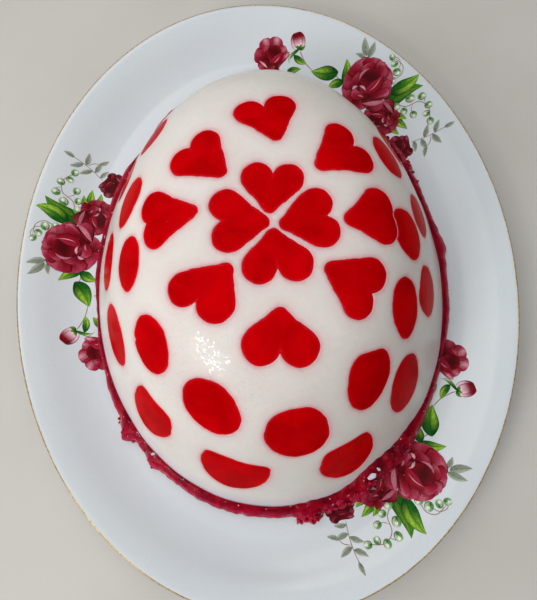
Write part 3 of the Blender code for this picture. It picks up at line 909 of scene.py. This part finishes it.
SMALL_PETALS = (
    (-0.1, 0.1, -0.25, 1.0, 0.9, 0.0, 0.15, 0.3, 0.25), (-0.2, 0.0, -0.95, 0.35, 0.8, 0.0, 0.25, 0.4, 0.35),
    (-0.2, -0.1, -0.88, -0.5, 0.7, 0.0, 0.55, -0.2, 0.8), (0.1, 0.2, 0.66, 0.8, 0.78, 0.0, 0.6, 0.2, 0.95),
    (0.2, 0.0, 1.04, 0.08, 0.8, 0.0, 0.7, 0.0, 1.05), (0.1, -0.2, 0.76, -0.56, 0.62, 0.0, 0.45, 0.0, 0.75),
    (-0.76, -0.5, 0.6, -0.84, 0.4, -0.1, 0.75, 0.3, 1.05),
    (-0.35, -0.3, 0.3, -0.68, 0.4, 0.0, 0.25, 0.2, 0.4), (-0.1, 0.0, 0.3, 0.62, 0.62, 0.0, 0.05, 0.5, 0.3))
SMALL_STROKES = (
    (-0.7, -0.02, -0.46, 0.58, 0.11, 0.05, 0.95), (0.04, 0.52, 0.42, 0.32, 0.07, -0.2, 0.55),
    (-0.26, -0.2, 0.2, -0.38, 0.05, 0.1, 0.75), (0.5, 0.2, 0.86, 0.34, 0.05, 0.12, 0.0))
# base x, y, tip x, y, width (mm), layer, bend, lime
LEAVES = (
    (-11.0, -13.5, 6.4, -30.0, 9.0, 1, -0.12, 0.28), (-0.6, -13.0, 12.0, -25.4, 8.4, 2, 0.12, 1.0),
    (-14.5, -18.0, -21.0, -28.0, 5.0, 3, 0.08, 1.0), (-13.5, -18.5, -17.0, -31.0, 5.0, 4, -0.05, 1.0),
    (-12.5, -18.0, -12.0, -28.5, 4.4, 5, -0.08, 0.9), (2.6, 18.6, -2.0, 34.0, 9.4, 2, -0.06, 0.75),
    (-3.7, 13.0, 10.0, 16.8, 5.8, 3, 0.08, 1.0), (-1.6, 13.4, -8.6, 20.6, 6.0, 4, 0.1, 0.8),
    (3.0, 47.0, 1.0, 38.0, 4.2, 2, 0.1, 1.0), (-8.5, 47.0, -3.0, 40.0, 4.6, 3, -0.08, 0.7))
# x, y, size (mm), pointing (radians), layer
BELLS = (
    (5.2, -12.6, 2.0, -1.4, 8), (10.0, -13.4, 2.1, -1.7, 8), (13.6, -10.2, 1.8, 1.9, 8),
    (16.8, -7.6, 1.7, 0.4, 8), (-7.0, -20.3, 2.2, -1.3, 12), (-8.4, -25.6, 1.8, -2.4, 12),
    (-1.4, -26.0, 2.2, -1.2, 12), (-9.0, -31.2, 1.8, -2.2, 8), (1.0, -31.6, 2.0, -0.7, 8),
    (-2.6, -36.8, 1.9, -1.0, 8), (-7.4, -37.6, 1.7, 2.2, 8), (-10.6, -41.2, 1.8, -2.5, 8))
# sprigs: points of the stem, rows of leaf root x, y, tip x, y and bend, colour of the stem
SPRIGS = (
    ((), ((13.2, 5.2, 22.5, 5.0, 0.05), (14.0, 6.2, 23.0, 11.2, -0.05), (12.8, 6.8, 13.6, 13.0, 0.06)),
     SPRIG_GREY),
    (((-23.5, -35.5), (-20.0, -41.0), (-16.5, -45.5), (-11.0, -51.0)),
     ((-20.5, -40.5, -25.0, -46.0, 0.06), (-19.5, -41.5, -12.5, -40.5, 0.05),
      (-17.0, -45.0, -20.5, -51.5, 0.05), (-16.0, -46.0, -9.0, -45.5, -0.05),
      (-12.5, -49.5, -8.0, -53.5, 0.04), (-22.5, -37.0, -28.0, -40.0, -0.05)), STEM_BROWN),
    (((-17.5, -44.5), (-21.5, -45.5), (-25.5, -44.0)), ((-24.0, -44.5, -29.5, -46.0, 0.05),), STEM_BROWN))
# stems: width, colour and points, mm
STEMS = (
    (0.50, STEM_BROWN, ((-1.6, 33.0), (0.6, 38.0), (3.6, 42.0), (6.6, 45.0))),
    (0.50, STEM_OLIVE, ((-3.0, 12.5), (-1.0, 17.0), (1.6, 20.8))),
    (0.45, STEM_OLIVE, ((-2.5, 48.0), (2.0, 49.4), (6.6, 45.4))),
    (0.40, STEM_BROWN, ((4.0, -11.0), (9.0, -16.0), (14.0, -15.0), (16.6, -9.5))),
    (0.36, STEM_BROWN, ((10.0, -13.0), (14.5, -13.5), (17.5, -10.5), (16.0, -7.0))),
    (0.44, STEM_BROWN, ((-4.5, -16.0), (-6.0, -25.0), (-2.2, -31.0), (-3.6, -37.0), (-9.5, -40.5))),
    (0.36, STEM_BROWN, ((-4.0, -28.5), (-7.0, -29.0), (-7.8, -31.0))),
    (0.36, STEM_BROWN, ((-2.6, -34.0), (0.4, -33.5), (1.2, -31.5))))
# roses, the farthest under the nearest: centre and radius (mm), shapes, layer, tilt, shade, group
ROSES = (
    ((-28.0, -31.5), 7.6, SMALL_PETALS, SMALL_STROKES, 0, 0.9, 0.7, "back_roses"),
    ((-16.0, -14.5), 10.0, ROSE_PETALS, ROSE_STROKES, 20, 2.2, 0.25, "back_roses"),
    ((-2.8, 58.8), 10.4, SMALL_PETALS, SMALL_STROKES, 4, 0.0, 0.0, "small_roses"),
    ((0.0, 0.0), 13.8, ROSE_PETALS, ROSE_STROKES, 52, 0.0, 0.0, "roses"))
BUD = ((10.2, 47.6), math.radians(35), 4.2, 4)      # centre, pointing, size (mm), layer


def petal_width(s):
    taper = (1 - clip((s - 0.55) / 0.45) ** 2.6) ** 0.5
    return taper * clip(0.45 + 0.8 * s) * np.minimum(1, s * 9 + 0.3)


def leaf_width(s):
    return np.sin(np.pi * s ** 0.85) ** 0.85 * (1 - 0.18 * s)


def sliver_width(s):
    return np.sin(np.pi * s) ** 0.8


def round_width(s):
    return np.sqrt(clip(1 - (2 * s - 1) ** 2))


# each paint is a function of places along (0 to 1) and across (-1 to 1) a patch

def petal_paint(depth, lit, light, shade):
    def paint(s, t):
        tone = blend(WINE, BURGUNDY, s * 1.6 + depth - 0.5)
        tone = blend(tone, ROSE, clip(s * 1.9 - 0.9) * (0.45 + depth))
        glow = ridge(t, lit, 0.42) * clip((s - 0.30) * 1.7)
        tone = blend(tone, blend(BLUSH, PALE, light - 0.4), glow * light * 0.8)
        folds = clip(np.sin(3.1 * (1.4 * t + lit) + 3.5 * s)) ** 2
        tone = blend(tone, DEEPEST, 0.60 * folds * clip(1.20 - s))
        tone = blend(tone, DEEPEST, clip(0.75 - 1.6 * s, 0.7))
        tone = blend(tone, MAUVE, clip((s - 0.86) * 8) * (0.25 + 0.5 * depth))
        tone = blend(tone, DEEPEST, clip((abs(t) - 0.88) * 8) * 0.8)
        return blend(tone, DEEPEST, shade)
    return paint


def stroke_paint(light, shade):
    tone = blend(blend(DEEPEST, ROSE, light * 2), PALE, light * 2 - 1)
    tone = blend(tone, DEEPEST, shade)
    return lambda s, t: blend(tone, ROSE * (1 - shade), abs(2 * s - 1) ** 2 * 0.7 + 0.2 * abs(t))


def bud_paint(shift):
    def paint(s, t):
        tone = blend(blend(BUD_ROOT, PALE, s * 4), BURGUNDY, s * 2.4 - 0.65 + 0.6 * shift)
        tone = blend(tone, WINE, clip((s - 0.55) * 2, 0.9))
        return blend(tone, WINE, clip(abs(t) - 0.75) * 3)
    return paint


def leaf_paint(lime):
    def paint(s, t):
        tone = blend(LEAF_DARK, LEAF_MID, s * 0.9 + 0.30 - 0.45 * abs(t + 0.3))
        tone = blend(tone, LEAF_LIME, clip((s - 0.18) * 2.2) * ridge(t, 0.42, 0.40) * lime * 1.3)
        tone = blend(tone, LEAF_LIME, clip((s - 0.40) * 2.2) * ridge(t, -0.50, 0.28) * lime * 0.9)
        ribs = clip(np.cos(s * 30 - abs(t) * 7)) ** 5 * clip(abs(t) * 3)
        tone = blend(tone, LEAF_DARK, 0.45 * ribs)
        tone = blend(tone, VEIN, clip(1.25 - abs(t) * 14) * clip(1.15 - s))
        return blend(tone, LEAF_DARK, clip((abs(t) - 0.9) * 8, 0.6))
    return paint


def sprig_paint(s, t):
    tone = blend(SPRIG_GREY, SPRIG_PALE, s * 0.5 + clip(t) * 0.6)
    return blend(tone, SPRIG_GREY * 0.8, clip(1.1 - abs(t) * 9) * 0.5)


def axes(pointing):
    return (np.array([math.cos(pointing), math.sin(pointing)]),
            np.array([math.sin(pointing), -math.cos(pointing)]))


def border(sheet):
    """The numbers round the edge of a sheet of vertex numbers."""
    return np.concatenate([sheet[:-1, 0], sheet[-1, :-1], sheet[:0:-1, -1], sheet[0, :0:-1]])


class Spray:
    """One painted spray of roses: thin enamel patches draped on the plate."""

    LIFT = 0.030       # mm above the glaze
    STEP = 0.006       # mm between overlapping patches
    ROOT = -0.08       # mm, a patch's underside, in the glaze
    THINNEST = 0.04    # mm, the least width of a patch

    def __init__(self, x, y, heading):
        self.x, self.y, self.turn = x * MM, y * MM, math.radians(heading - 90)
        self.groups = {}

    def drape(self, points, lift):
        cosine, sine = math.cos(self.turn), math.sin(self.turn)
        local_x, local_y = points.T
        x = self.x + (local_x * cosine - local_y * sine) * MM
        y = self.y + (local_x * sine + local_y * cosine) * MM
        return np.stack([x, y, plate_surface(x, y) + lift * MM], -1)

    def patch(self, group, spine, width, colours, layer):
        """A thin closed patch along a line of points (mm), with a row of colours at each point."""
        rows, cols = colours.shape[:2]
        tangent = np.gradient(spine, axis=0)
        tangent /= np.linalg.norm(tangent, axis=1, keepdims=True)
        across = np.stack([tangent[:, 1], -tangent[:, 0]], -1)
        aside = (width / 2)[:, None] * np.linspace(-1.0, 1.0, cols)
        points = (spine[:, None] + across[:, None] * aside[..., None]).reshape(-1, 2)
        shell = self.groups.setdefault(group, Shell())
        sheets = [shell.add(self.drape(points, lift), colours.reshape(-1, 3)).reshape(rows, cols)
                  for lift in (self.LIFT + layer * self.STEP, self.ROOT)]
        for sheet in sheets:
            corners = (sheet[:-1, :-1], sheet[:-1, 1:], sheet[1:, 1:], sheet[1:, :-1])
            shell.faces += zip(*(corner.ravel() for corner in corners))
        shell.join(border(sheets[0]), border(sheets[1]))

    def blade(self, group, start, end, width, paint, outline, bend, layer, rows, cols):
        """A patch along a bent line from start to end, as wide as its outline says."""
        start, end = np.array(start, float), np.array(end, float)
        run = end - start
        s = np.linspace(0.0, 1.0, rows)
        bow = np.array([run[1], -run[0]]) * (bend * 4 * s * (1 - s))[:, None]
        colours = paint(*np.meshgrid(s, np.linspace(-1.0, 1.0, cols), indexing="ij"))
        widths = np.maximum(width * outline(s), self.THINNEST)
        self.patch(group, start + s[:, None] * run + bow, widths, colours, layer)

    def rose(self, centre, radius, petals, strokes, layer, tilt, shade, group):
        """A rose seen from above: petals, a cup set off the middle and light edges; shade deepens it."""
        turn = np.array([[math.cos(tilt), math.sin(tilt)], [-math.sin(tilt), math.cos(tilt)]])

        def lay(ends, width, paint, outline, bend, rows, cols):
            nonlocal layer
            start, end = centre + radius * (np.reshape(ends, (2, 2)) @ turn)
            self.blade(group, start, end, radius * width, paint, outline, bend, layer, rows, cols)
            layer += 1

        def hollow(s, t):
            return blend(DEEPEST, BURGUNDY, abs(2 * s - 1.15) * 0.9 + 0.4 * abs(t) - 0.25 - shade)

        def fold(s, t):
            return blend(blend(BURGUNDY, ROSE, 0.2 - 0.5 * t), DEEPEST, np.clip(t - 0.5, shade, 1))

        for *ends, width, bend, depth, lit, light in petals:
            lay(ends, width, petal_paint(depth, lit, light, shade), petal_width, bend, 15, 13)
        lay((-0.20, -0.04, 0.66, -0.04), 0.82, hollow, round_width, 0.0, 15, 11)
        lay((-0.30, 0.02, 0.46, -0.50), 0.46, fold, sliver_width, 0.14, 15, 9)
        for *ends, width, bend, light in strokes:
            lay(ends, width, stroke_paint(light, shade), sliver_width, bend, 13, 5)

    def bud(self, centre, pointing, size, layer):
        """A closed bud, pale at its root and wine at its tip, held by small green leaves."""
        axis, side = axes(pointing)
        for shift, wide, lean in ((-0.30, 0.95, -0.10), (0.30, 0.95, 0.10), (0.0, 1.0, 0.0)):
            self.blade("roses", centre - axis * size + side * shift * size,
                       centre + axis * size + side * shift * size * 0.3,
                       size * 1.3 * wide, bud_paint(shift), round_width, lean, layer, 12, 9)
            layer += 1
        root = centre - axis * size * 1.05
        for lean, reach in ((-2.1, 1.9), (1.3, 0.9), (-0.8, 0.7), (0.5, 0.65)):
            direction = axis * math.cos(lean) + side * math.sin(lean)
            self.leaf(root, root + direction * size * reach, size * 0.45, layer, 0.12, 0.6)
            layer += 1

    def leaf(self, base, tip, width, layer, bend, lime):
        self.blade("leaves", base, tip, width, leaf_paint(lime), leaf_width, bend, layer, 21, 15)

    def bell(self, centre, size, pointing, layer):
        """A lily-of-the-valley bell: a partial olive outline, green shade and cream light."""
        axis, side = axes(pointing)
        for scale, first, last, mix, along, aside in (
                (0.97, BELL_LINE, BELL_GREEN, (0.6, 0.0, 0.0), -0.04, 0.07),
                (0.90, BELL_GREEN, BELL_WHITE, (1.0, 0.45, -0.20), 0.03, -0.03),
                (0.34, BELL_WHITE, BELL_LIGHT, (1.0, 0.0, 0.0), 0.30, 0.10)):
            middle = centre + axis * size * along + side * size * aside
            reach = axis * size * scale * 1.2
            self.blade("bells", middle - reach, middle + reach, 2 * size * scale,
                       lambda s, t: blend(first, last, mix[0] * s + mix[1] * t + mix[2]),
                       round_width, 0.0, layer, 11, 9)
            layer += 1
        self.blade("bells", centre - axis * size * 0.95, centre - axis * size * 0.1 - side * size * 0.35,
                   size * 0.5, lambda s, t: blend(LEAF_DARK, BELL_GREEN, s), leaf_width, 0.1, layer, 7, 5)

    def stem(self, width, colour, points):
        """A thin line through the points, paler along its middle."""
        curve = spline(points, 7)
        length = np.concatenate([[0], np.cumsum(np.hypot(*np.diff(curve, axis=0).T))])
        widths = width * np.clip(np.minimum(length, length[-1] - length) / 1.5, 0.3, 1)
        shade = np.tile([0.0, 0.35, 0.0], (len(curve), 1))
        self.patch("stems", curve, widths, blend(colour, BELL_WHITE, shade), 0)

    def sprig(self, stem, leaves, colour):
        """A faded sprig: a thin stem with slender grey-green leaves."""
        if stem:
            self.stem(0.36, colour, stem)
        for *ends, bend in leaves:
            root, tip = np.reshape(ends, (2, 2))
            width = math.dist(root, tip) * 0.42
            self.blade("sprigs", root, tip, width, sprig_paint, leaf_width, bend, 1, 14, 9)


def paint_spray(material, name, x, y, heading):
    """Roses, leaves, bells and sprigs about a large rose at (x, y) mm; heading points to the small rose."""
    spray = Spray(x, y, heading)
    for row in SPRIGS:
        spray.sprig(*row)
    for row in STEMS:
        spray.stem(*row)
    for *ends, width, layer, bend, lime in LEAVES:
        spray.leaf(ends[:2], ends[2:], width, layer, bend, lime)
    for bell_x, bell_y, *row in BELLS:
        spray.bell(np.array([bell_x, bell_y]), *row)
    for row in ROSES:
        spray.rose(*row)
    spray.bud(*BUD)
    return [shell.finish(f"{name}_{group}", material, "paint") for group, shell in spray.groups.items()]


# ---------------------------------------------------------------- looks

class Look:
    """A Principled material built from procedural nodes in object coordinates (metres)."""

    def __init__(self, name, **values):
        self.material = bpy.data.materials.new(name)
        self.material.use_nodes = True
        self.tree = self.material.node_tree
        self.shader = next(node for node in self.tree.nodes if node.type == "BSDF_PRINCIPLED")
        for key, value in values.items():
            self.set(key.replace("_", " "), value)
        self.place = self.tree.nodes.new("ShaderNodeTexCoord").outputs["Object"]

    def wire(self, socket, value):
        if isinstance(value, bpy.types.NodeSocket):
            self.tree.links.new(value, socket)
        else:
            socket.default_value = value

    def set(self, name, value):
        self.wire(next(one for one in self.shader.inputs if one.name.lower() == name.lower()), value)

    def node(self, kind, wires=(), **settings):
        node = self.tree.nodes.new(kind)
        for key, value in settings.items():
            setattr(node, key, value)
        for socket, value in dict(wires).items():
            self.wire(node.inputs[socket], value)
        return node

    def noise(self, size, detail=2.0, roughness=0.5, distortion=0.0):
        """Noise with features of about that size in mm."""
        wires = {"Vector": self.place, "Scale": 1 / (size * MM), "Detail": detail, "Roughness": roughness,
                 "Distortion": distortion}
        return self.node("ShaderNodeTexNoise", wires).outputs["Fac"]

    def clouds(self, size, low, high, new_low=0.0, new_high=1.0, **more):
        """Noise whose values from low to high are spread over the new range."""
        return self.scale(self.noise(size, **more), low, high, new_low, new_high)

    def cells(self, size, smoothness=0.0):
        wires = {"Vector": self.place, "Scale": 1 / (size * MM)}
        if smoothness:
            wires["Smoothness"] = smoothness
        feature = "SMOOTH_F1" if smoothness else "F1"
        return self.node("ShaderNodeTexVoronoi", wires, feature=feature).outputs["Distance"]

    def attribute(self, name, output="Fac"):
        return self.node("ShaderNodeAttribute", attribute_name=name).outputs[output]

    def scale(self, value, low, high, new_low=0.0, new_high=1.0):
        return self.node("ShaderNodeMapRange", {"Value": value, "From Min": low, "From Max": high,
                                                "To Min": new_low, "To Max": new_high}).outputs["Result"]

    def fade(self, value, near, far):
        """1 up to near, 0 from far on."""
        return self.scale(value, near, far, 1.0, 0.0)

    def maths(self, operation, first, second):
        return self.node("ShaderNodeMath", {0: first, 1: second}, operation=operation).outputs[0]

    def times(self, first, second):
        return self.maths("MULTIPLY", first, second)

    def mix(self, share, first, second, blend_type="MIX"):
        def colour(value):
            if isinstance(value, bpy.types.NodeSocket):
                return value
            return (*[float(v) for v in value], 1.0)
        return self.node("ShaderNodeMix", {0: share, 6: colour(first), 7: colour(second)},
                         data_type="RGBA", blend_type=blend_type).outputs[2]

    def bump(self, height, strength, distance, normal=None):
        """The normal after a bump of distance mm."""
        wires = {"Height": height, "Strength": strength, "Distance": distance * MM}
        if normal is not None:
            wires["Normal"] = normal
        return self.node("ShaderNodeBump", wires).outputs["Normal"]

    def bumps(self, *layers):
        """Bumps laid one on another, from (height, strength, distance in mm)."""
        normal = None
        for layer in layers:
            normal = self.bump(*layer, normal)
        self.set("normal", normal)

    def wet_film(self, size, depth):
        """Fine ripples of the water film, on the coat alone."""
        self.set("coat normal", self.bump(self.noise(size, 1.0), 1.0, depth))

    def drops(self, size, between=0.0):
        """1 in ragged drops, size mm apart, which break a reflection into sparks."""
        ragged = self.maths("ADD", self.cells(size), self.clouds(size * 0.8, 0.3, 0.7, -0.12, 0.12))
        return self.scale(ragged, 0.26, 0.34, 1.0, between)


def milk_look():
    look = Look("white milk jelly, wet", Roughness=0.25, IOR=1.36, Subsurface_Weight=0.55,
                Subsurface_Scale=0.0035, Subsurface_Radius=(1.0, 0.82, 0.66), Specular_IOR_Level=0.06,
                Coat_Roughness=0.14, Coat_IOR=1.65)
    halo = look.attribute("halo")
    cream = look.mix(look.clouds(26.0, 0.35, 0.65, detail=3.0), srgb(230, 224, 217), srgb(226, 218, 211))
    mottle = look.clouds(2.4, 0.4, 0.6, 0.0, 0.25, detail=3.0, roughness=0.6)
    cream = look.mix(mottle, cream, srgb(219, 212, 206))
    # red colour that has crept into the white beside each piece
    uneven = look.maths("DIVIDE", halo, look.clouds(3.0, 0.3, 0.7, 0.75, 1.25))
    near = look.maths("POWER", look.fade(uneven, 0.0, 1.9), 1.5)
    colour = look.mix(look.times(near, 0.85), cream, srgb(228, 116, 122))
    wide = look.maths("POWER", look.fade(halo, 0.0, 6.0), 1.4)
    colour = look.mix(look.times(wide, 0.52), colour, srgb(224, 188, 190))
    # painted shade and reflected light low down: a lavender tint on the lower sides for their shade and
    # reflections, and a pink one at the foot for red light thrown up by the layer beneath
    height = look.node("ShaderNodeSeparateXYZ", {"Vector": look.place}).outputs["Z"]
    colour = look.mix(look.times(look.fade(height, 0.0165, 0.0265), 0.50), colour, srgb(202, 188, 212))
    colour = look.mix(look.times(look.fade(height, 0.0163, 0.0180), 0.55), colour, srgb(190, 110, 140))
    look.set("base color", colour)
    look.bumps((look.noise(7.0), 0.10, 0.5), (look.noise(0.8, 2.0, 0.6), 0.16, 0.05))
    look.wet_film(2.4, 0.07)
    # drops stand on one shoulder, and a thin film of water over the rest
    away = look.node("ShaderNodeVectorMath", {0: look.place, 1: WET_PATCH}, operation="DISTANCE")
    patch = look.fade(away.outputs["Value"], 0.020, 0.036)
    look.set("coat weight", look.maths("MAXIMUM", 0.08, look.times(look.drops(1.4), patch)))
    return look.material


def red_look():
    look = Look("red jelly, wet", Roughness=0.24, IOR=1.34, Specular_IOR_Level=0.006,
                Subsurface_Weight=0.2, Subsurface_Scale=0.002, Subsurface_Radius=(1.0, 0.05, 0.03),
                Coat_Roughness=0.03, Coat_IOR=1.33)
    edge = look.attribute("edge")
    cloud = look.clouds(14.0, 0.35, 0.65, detail=3.0, roughness=0.55, distortion=0.4)
    deep = look.mix(cloud, (0.44, 0.0, 0.0012), (0.60, 0.0, 0.0020))
    thin = look.maths("POWER", look.fade(edge, 0.0, 1.4), 1.5)
    colour = look.mix(look.times(thin, 0.7), deep, (0.74, 0.006, 0.016))
    speck = look.times(look.fade(look.cells(2.6), 0.05, 0.09), look.clouds(11.0, 0.50, 0.60, detail=1.0))
    look.set("base color", look.mix(look.times(speck, 0.45), colour, (0.80, 0.06, 0.06)))
    look.set("roughness", look.clouds(5.0, 0.3, 0.7, 0.15, 0.27))
    # water stands only in specks and along the cut edge
    rim = look.times(look.fade(edge, 0.25, 1.3), look.clouds(2.6, 0.54, 0.66, 0.0, 0.4))
    look.set("coat weight", look.maths("MAXIMUM", rim, look.times(speck, 0.8)))
    look.bumps((look.noise(6.0), 0.10, 0.4), (look.noise(1.1), 0.08, 0.05))
    look.wet_film(2.4, 0.07)
    return look.material


def red_layer_look():
    look = Look("red jelly layer, wet and broken", Roughness=0.22, IOR=1.34, Specular_IOR_Level=0.2,
                Subsurface_Weight=0.3, Subsurface_Scale=0.002, Subsurface_Radius=(1.0, 0.15, 0.18),
                Coat_Roughness=0.18, Coat_IOR=1.4, Specular_Tint=(1.0, 0.25, 0.35, 1.0))
    cloud = look.clouds(6.0, 0.35, 0.65, detail=3.0, roughness=0.6, distortion=0.5)
    deep = look.mix(cloud, (0.13, 0.0, 0.005), (0.30, 0.001, 0.010))
    pale = look.mix(look.clouds(2.2, 0.35, 0.65), (0.68, 0.028, 0.110), (0.46, 0.006, 0.040))
    colour = look.mix(look.scale(look.attribute("rim"), 0.25, 0.80), deep, pale)
    froth = look.times(look.scale(look.cells(2.3), 0.11, 0.19, 0.75, 0.0),
                       look.clouds(7.0, 0.50, 0.58, detail=1.0))
    look.set("base color", look.mix(froth, colour, (0.86, 0.42, 0.48)))
    look.set("coat weight", look.times(look.drops(1.1, 0.1), look.clouds(3.0, 0.45, 0.60, 0.15, 1.0)))
    look.bumps((look.noise(2.6, 3.0, 0.6), 0.55, 0.5), (look.cells(1.1, 0.5), 0.25, 0.2))
    look.wet_film(1.6, 0.25)
    return look.material


def white_chip_and_glint_look():
    look = Look("broken white jelly and painted glints, wet", Roughness=0.12, IOR=1.36, Subsurface_Weight=0.4,
                Subsurface_Scale=0.002, Subsurface_Radius=(1.0, 0.9, 0.9), Coat_Weight=0.8,
                Coat_Roughness=0.03)
    # painted reflected light: the chips are tinted lavender-pink for red light thrown onto them by the layer
    tone = look.mix(look.clouds(1.6, 0.35, 0.65), srgb(204, 196, 224), srgb(226, 222, 236))
    look.set("base color", look.mix(look.clouds(0.9, 0.5, 0.7, 0.0, 0.7), tone, srgb(168, 132, 172)))
    look.bumps((look.noise(0.9), 0.5, 0.2))
    look.wet_film(0.8, 0.2)
    return look.material


def porcelain_look():
    look = Look("porcelain, bluish white glaze", Roughness=0.16, IOR=1.5, Coat_Weight=0.25,
                Coat_Roughness=0.06)
    tone = look.mix(look.clouds(60.0, 0.3, 0.7), srgb(204, 212, 217), srgb(209, 216, 219))
    tone = look.mix(look.clouds(1.2, 0.3, 0.7, 0.0, 0.3), tone, srgb(201, 206, 210))
    speck = look.fade(look.cells(9.0), 0.010, 0.018)
    look.set("base color", look.mix(look.times(speck, 0.25), tone, srgb(150, 146, 140)))
    look.set("roughness", look.clouds(18.0, 0.3, 0.7, 0.12, 0.22))
    look.bumps((look.noise(30.0, 1.0), 0.10, 0.6), (look.noise(3.0, 1.0), 0.04, 0.05))
    return look.material


def gold_look():
    look = Look("worn gold line", Metallic=0.9, Roughness=0.3)
    worn = look.clouds(2.0, 0.40, 0.62, detail=3.0, roughness=0.6)
    look.set("base color", look.mix(worn, (0.42, 0.27, 0.09), (0.62, 0.46, 0.22)))
    look.set("roughness", look.clouds(1.3, 0.3, 0.7, 0.22, 0.42))
    return look.material


def paint_look():
    look = Look("painted flowers under glaze", Roughness=0.24, IOR=1.45, Specular_IOR_Level=0.06)
    grain = look.clouds(0.9, 0.3, 0.7, 0.72, 1.20, roughness=0.6)
    grey = look.node("ShaderNodeCombineColor", {0: grain, 1: grain, 2: grain}).outputs[0]
    look.set("base color", look.mix(1.0, look.attribute("paint", "Color"), grey, "MULTIPLY"))
    look.bumps((look.noise(1.0, 1.0), 0.05, 0.03))
    return look.material


# ---------------------------------------------------------------- light, floor and camera

def area_light(name, bearing, height, distance, size, power, colour):
    """A square lamp that looks at the jelly from a bearing and height in degrees."""
    bearing, height = math.radians(bearing), math.radians(height)
    direction = Vector((math.cos(bearing) * math.cos(height), math.sin(bearing) * math.cos(height),
                        math.sin(height)))
    lamp = bpy.data.lights.new(name, "AREA")
    lamp.size, lamp.energy, lamp.color = size, power, colour
    holder = bpy.data.objects.new(name, lamp)
    holder.location = LAMP_TARGET + direction * distance
    holder.rotation_euler = direction.to_track_quat("Z", "Y").to_euler()
    bpy.context.scene.collection.objects.link(holder)


def make_stage():
    look = Look("pale floor", Roughness=0.6)
    tone = look.mix(look.clouds(90.0, 0.3, 0.7, detail=3.0), srgb(196, 191, 184), srgb(203, 199, 193))
    look.set("base color", tone)
    reach = FLOOR_REACH
    corners = [(-reach, -reach, 0), (reach, -reach, 0), (reach, reach, 0), (-reach, reach, 0)]
    new_object("floor", corners, [(0, 1, 2, 3)], look.material, smooth=False, solid=False)
    world = bpy.data.worlds.new("studio")
    bpy.context.scene.world = world
    world.use_nodes = True
    background = next(node for node in world.node_tree.nodes if node.type == "BACKGROUND")
    background.inputs["Color"].default_value = AMBIENT_COLOUR
    background.inputs["Strength"].default_value = AMBIENT
    for row in LAMPS:
        area_light(*row)
    bpy.context.scene.view_settings.view_transform = "Standard"


def make_camera():
    azimuth, elevation, roll = (math.radians(v) for v in (CAMERA_AZIMUTH, CAMERA_ELEVATION, CAMERA_ROLL))
    forward = Vector((math.sin(azimuth) * math.cos(elevation), math.cos(azimuth) * math.cos(elevation),
                      -math.sin(elevation)))
    level = Vector((math.cos(azimuth), -math.sin(azimuth), 0.0))
    right = level * math.cos(roll) + level.cross(forward) * math.sin(roll)
    camera = bpy.data.objects.new("camera", bpy.data.cameras.new("camera"))
    camera.data.lens = CAMERA_LENS
    camera.data.clip_start = 0.01
    turn = Matrix((right, right.cross(forward), -forward)).transposed().to_4x4()
    camera.matrix_world = Matrix.Translation(CAMERA_PLACE) @ turn
    bpy.context.scene.collection.objects.link(camera)
    bpy.context.scene.camera = camera


# ---------------------------------------------------------------- the whole

def put(piece, slot_name, *nodes):
    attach(piece, "root")
    if nodes:
        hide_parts(*nodes)


inlays = make_inlays()
put(make_milk_dome(inlays, milk_look()), "white_milk_jelly", "milk_jelly")
red = red_look()
for inlay in inlays:
    put(make_inlay_piece(inlay, red), "red_jelly", inlay.node)
layer_look = red_layer_look()
layer = make_red_layer(layer_look)
put(layer, "red_base_jelly", "red_base_layer")
plate = make_plate(porcelain_look())
put(plate, "porcelain", "plate")
put(make_crumbs("red_jelly_crumbs", RED_CRUMBS, (), layer_look, (layer, plate), seed=61),
    "red_base_jelly")
# white chips of broken jelly, with white beads and flakes that paint glints and glare at the foot
put(make_crumbs("white_jelly_chips_and_glints", WHITE_CRUMBS_AND_GLINTS, WHITE_CHIPS_AND_GLINTS, white_chip_and_glint_look(), (layer, plate), seed=62),
    "white_milk_jelly")
put(make_gold_rim(gold_look()), "porcelain")
painted = paint_look()
for row in SPRAYS:
    for piece in paint_spray(painted, *row):
        put(piece, "porcelain")

make_stage()
make_camera()
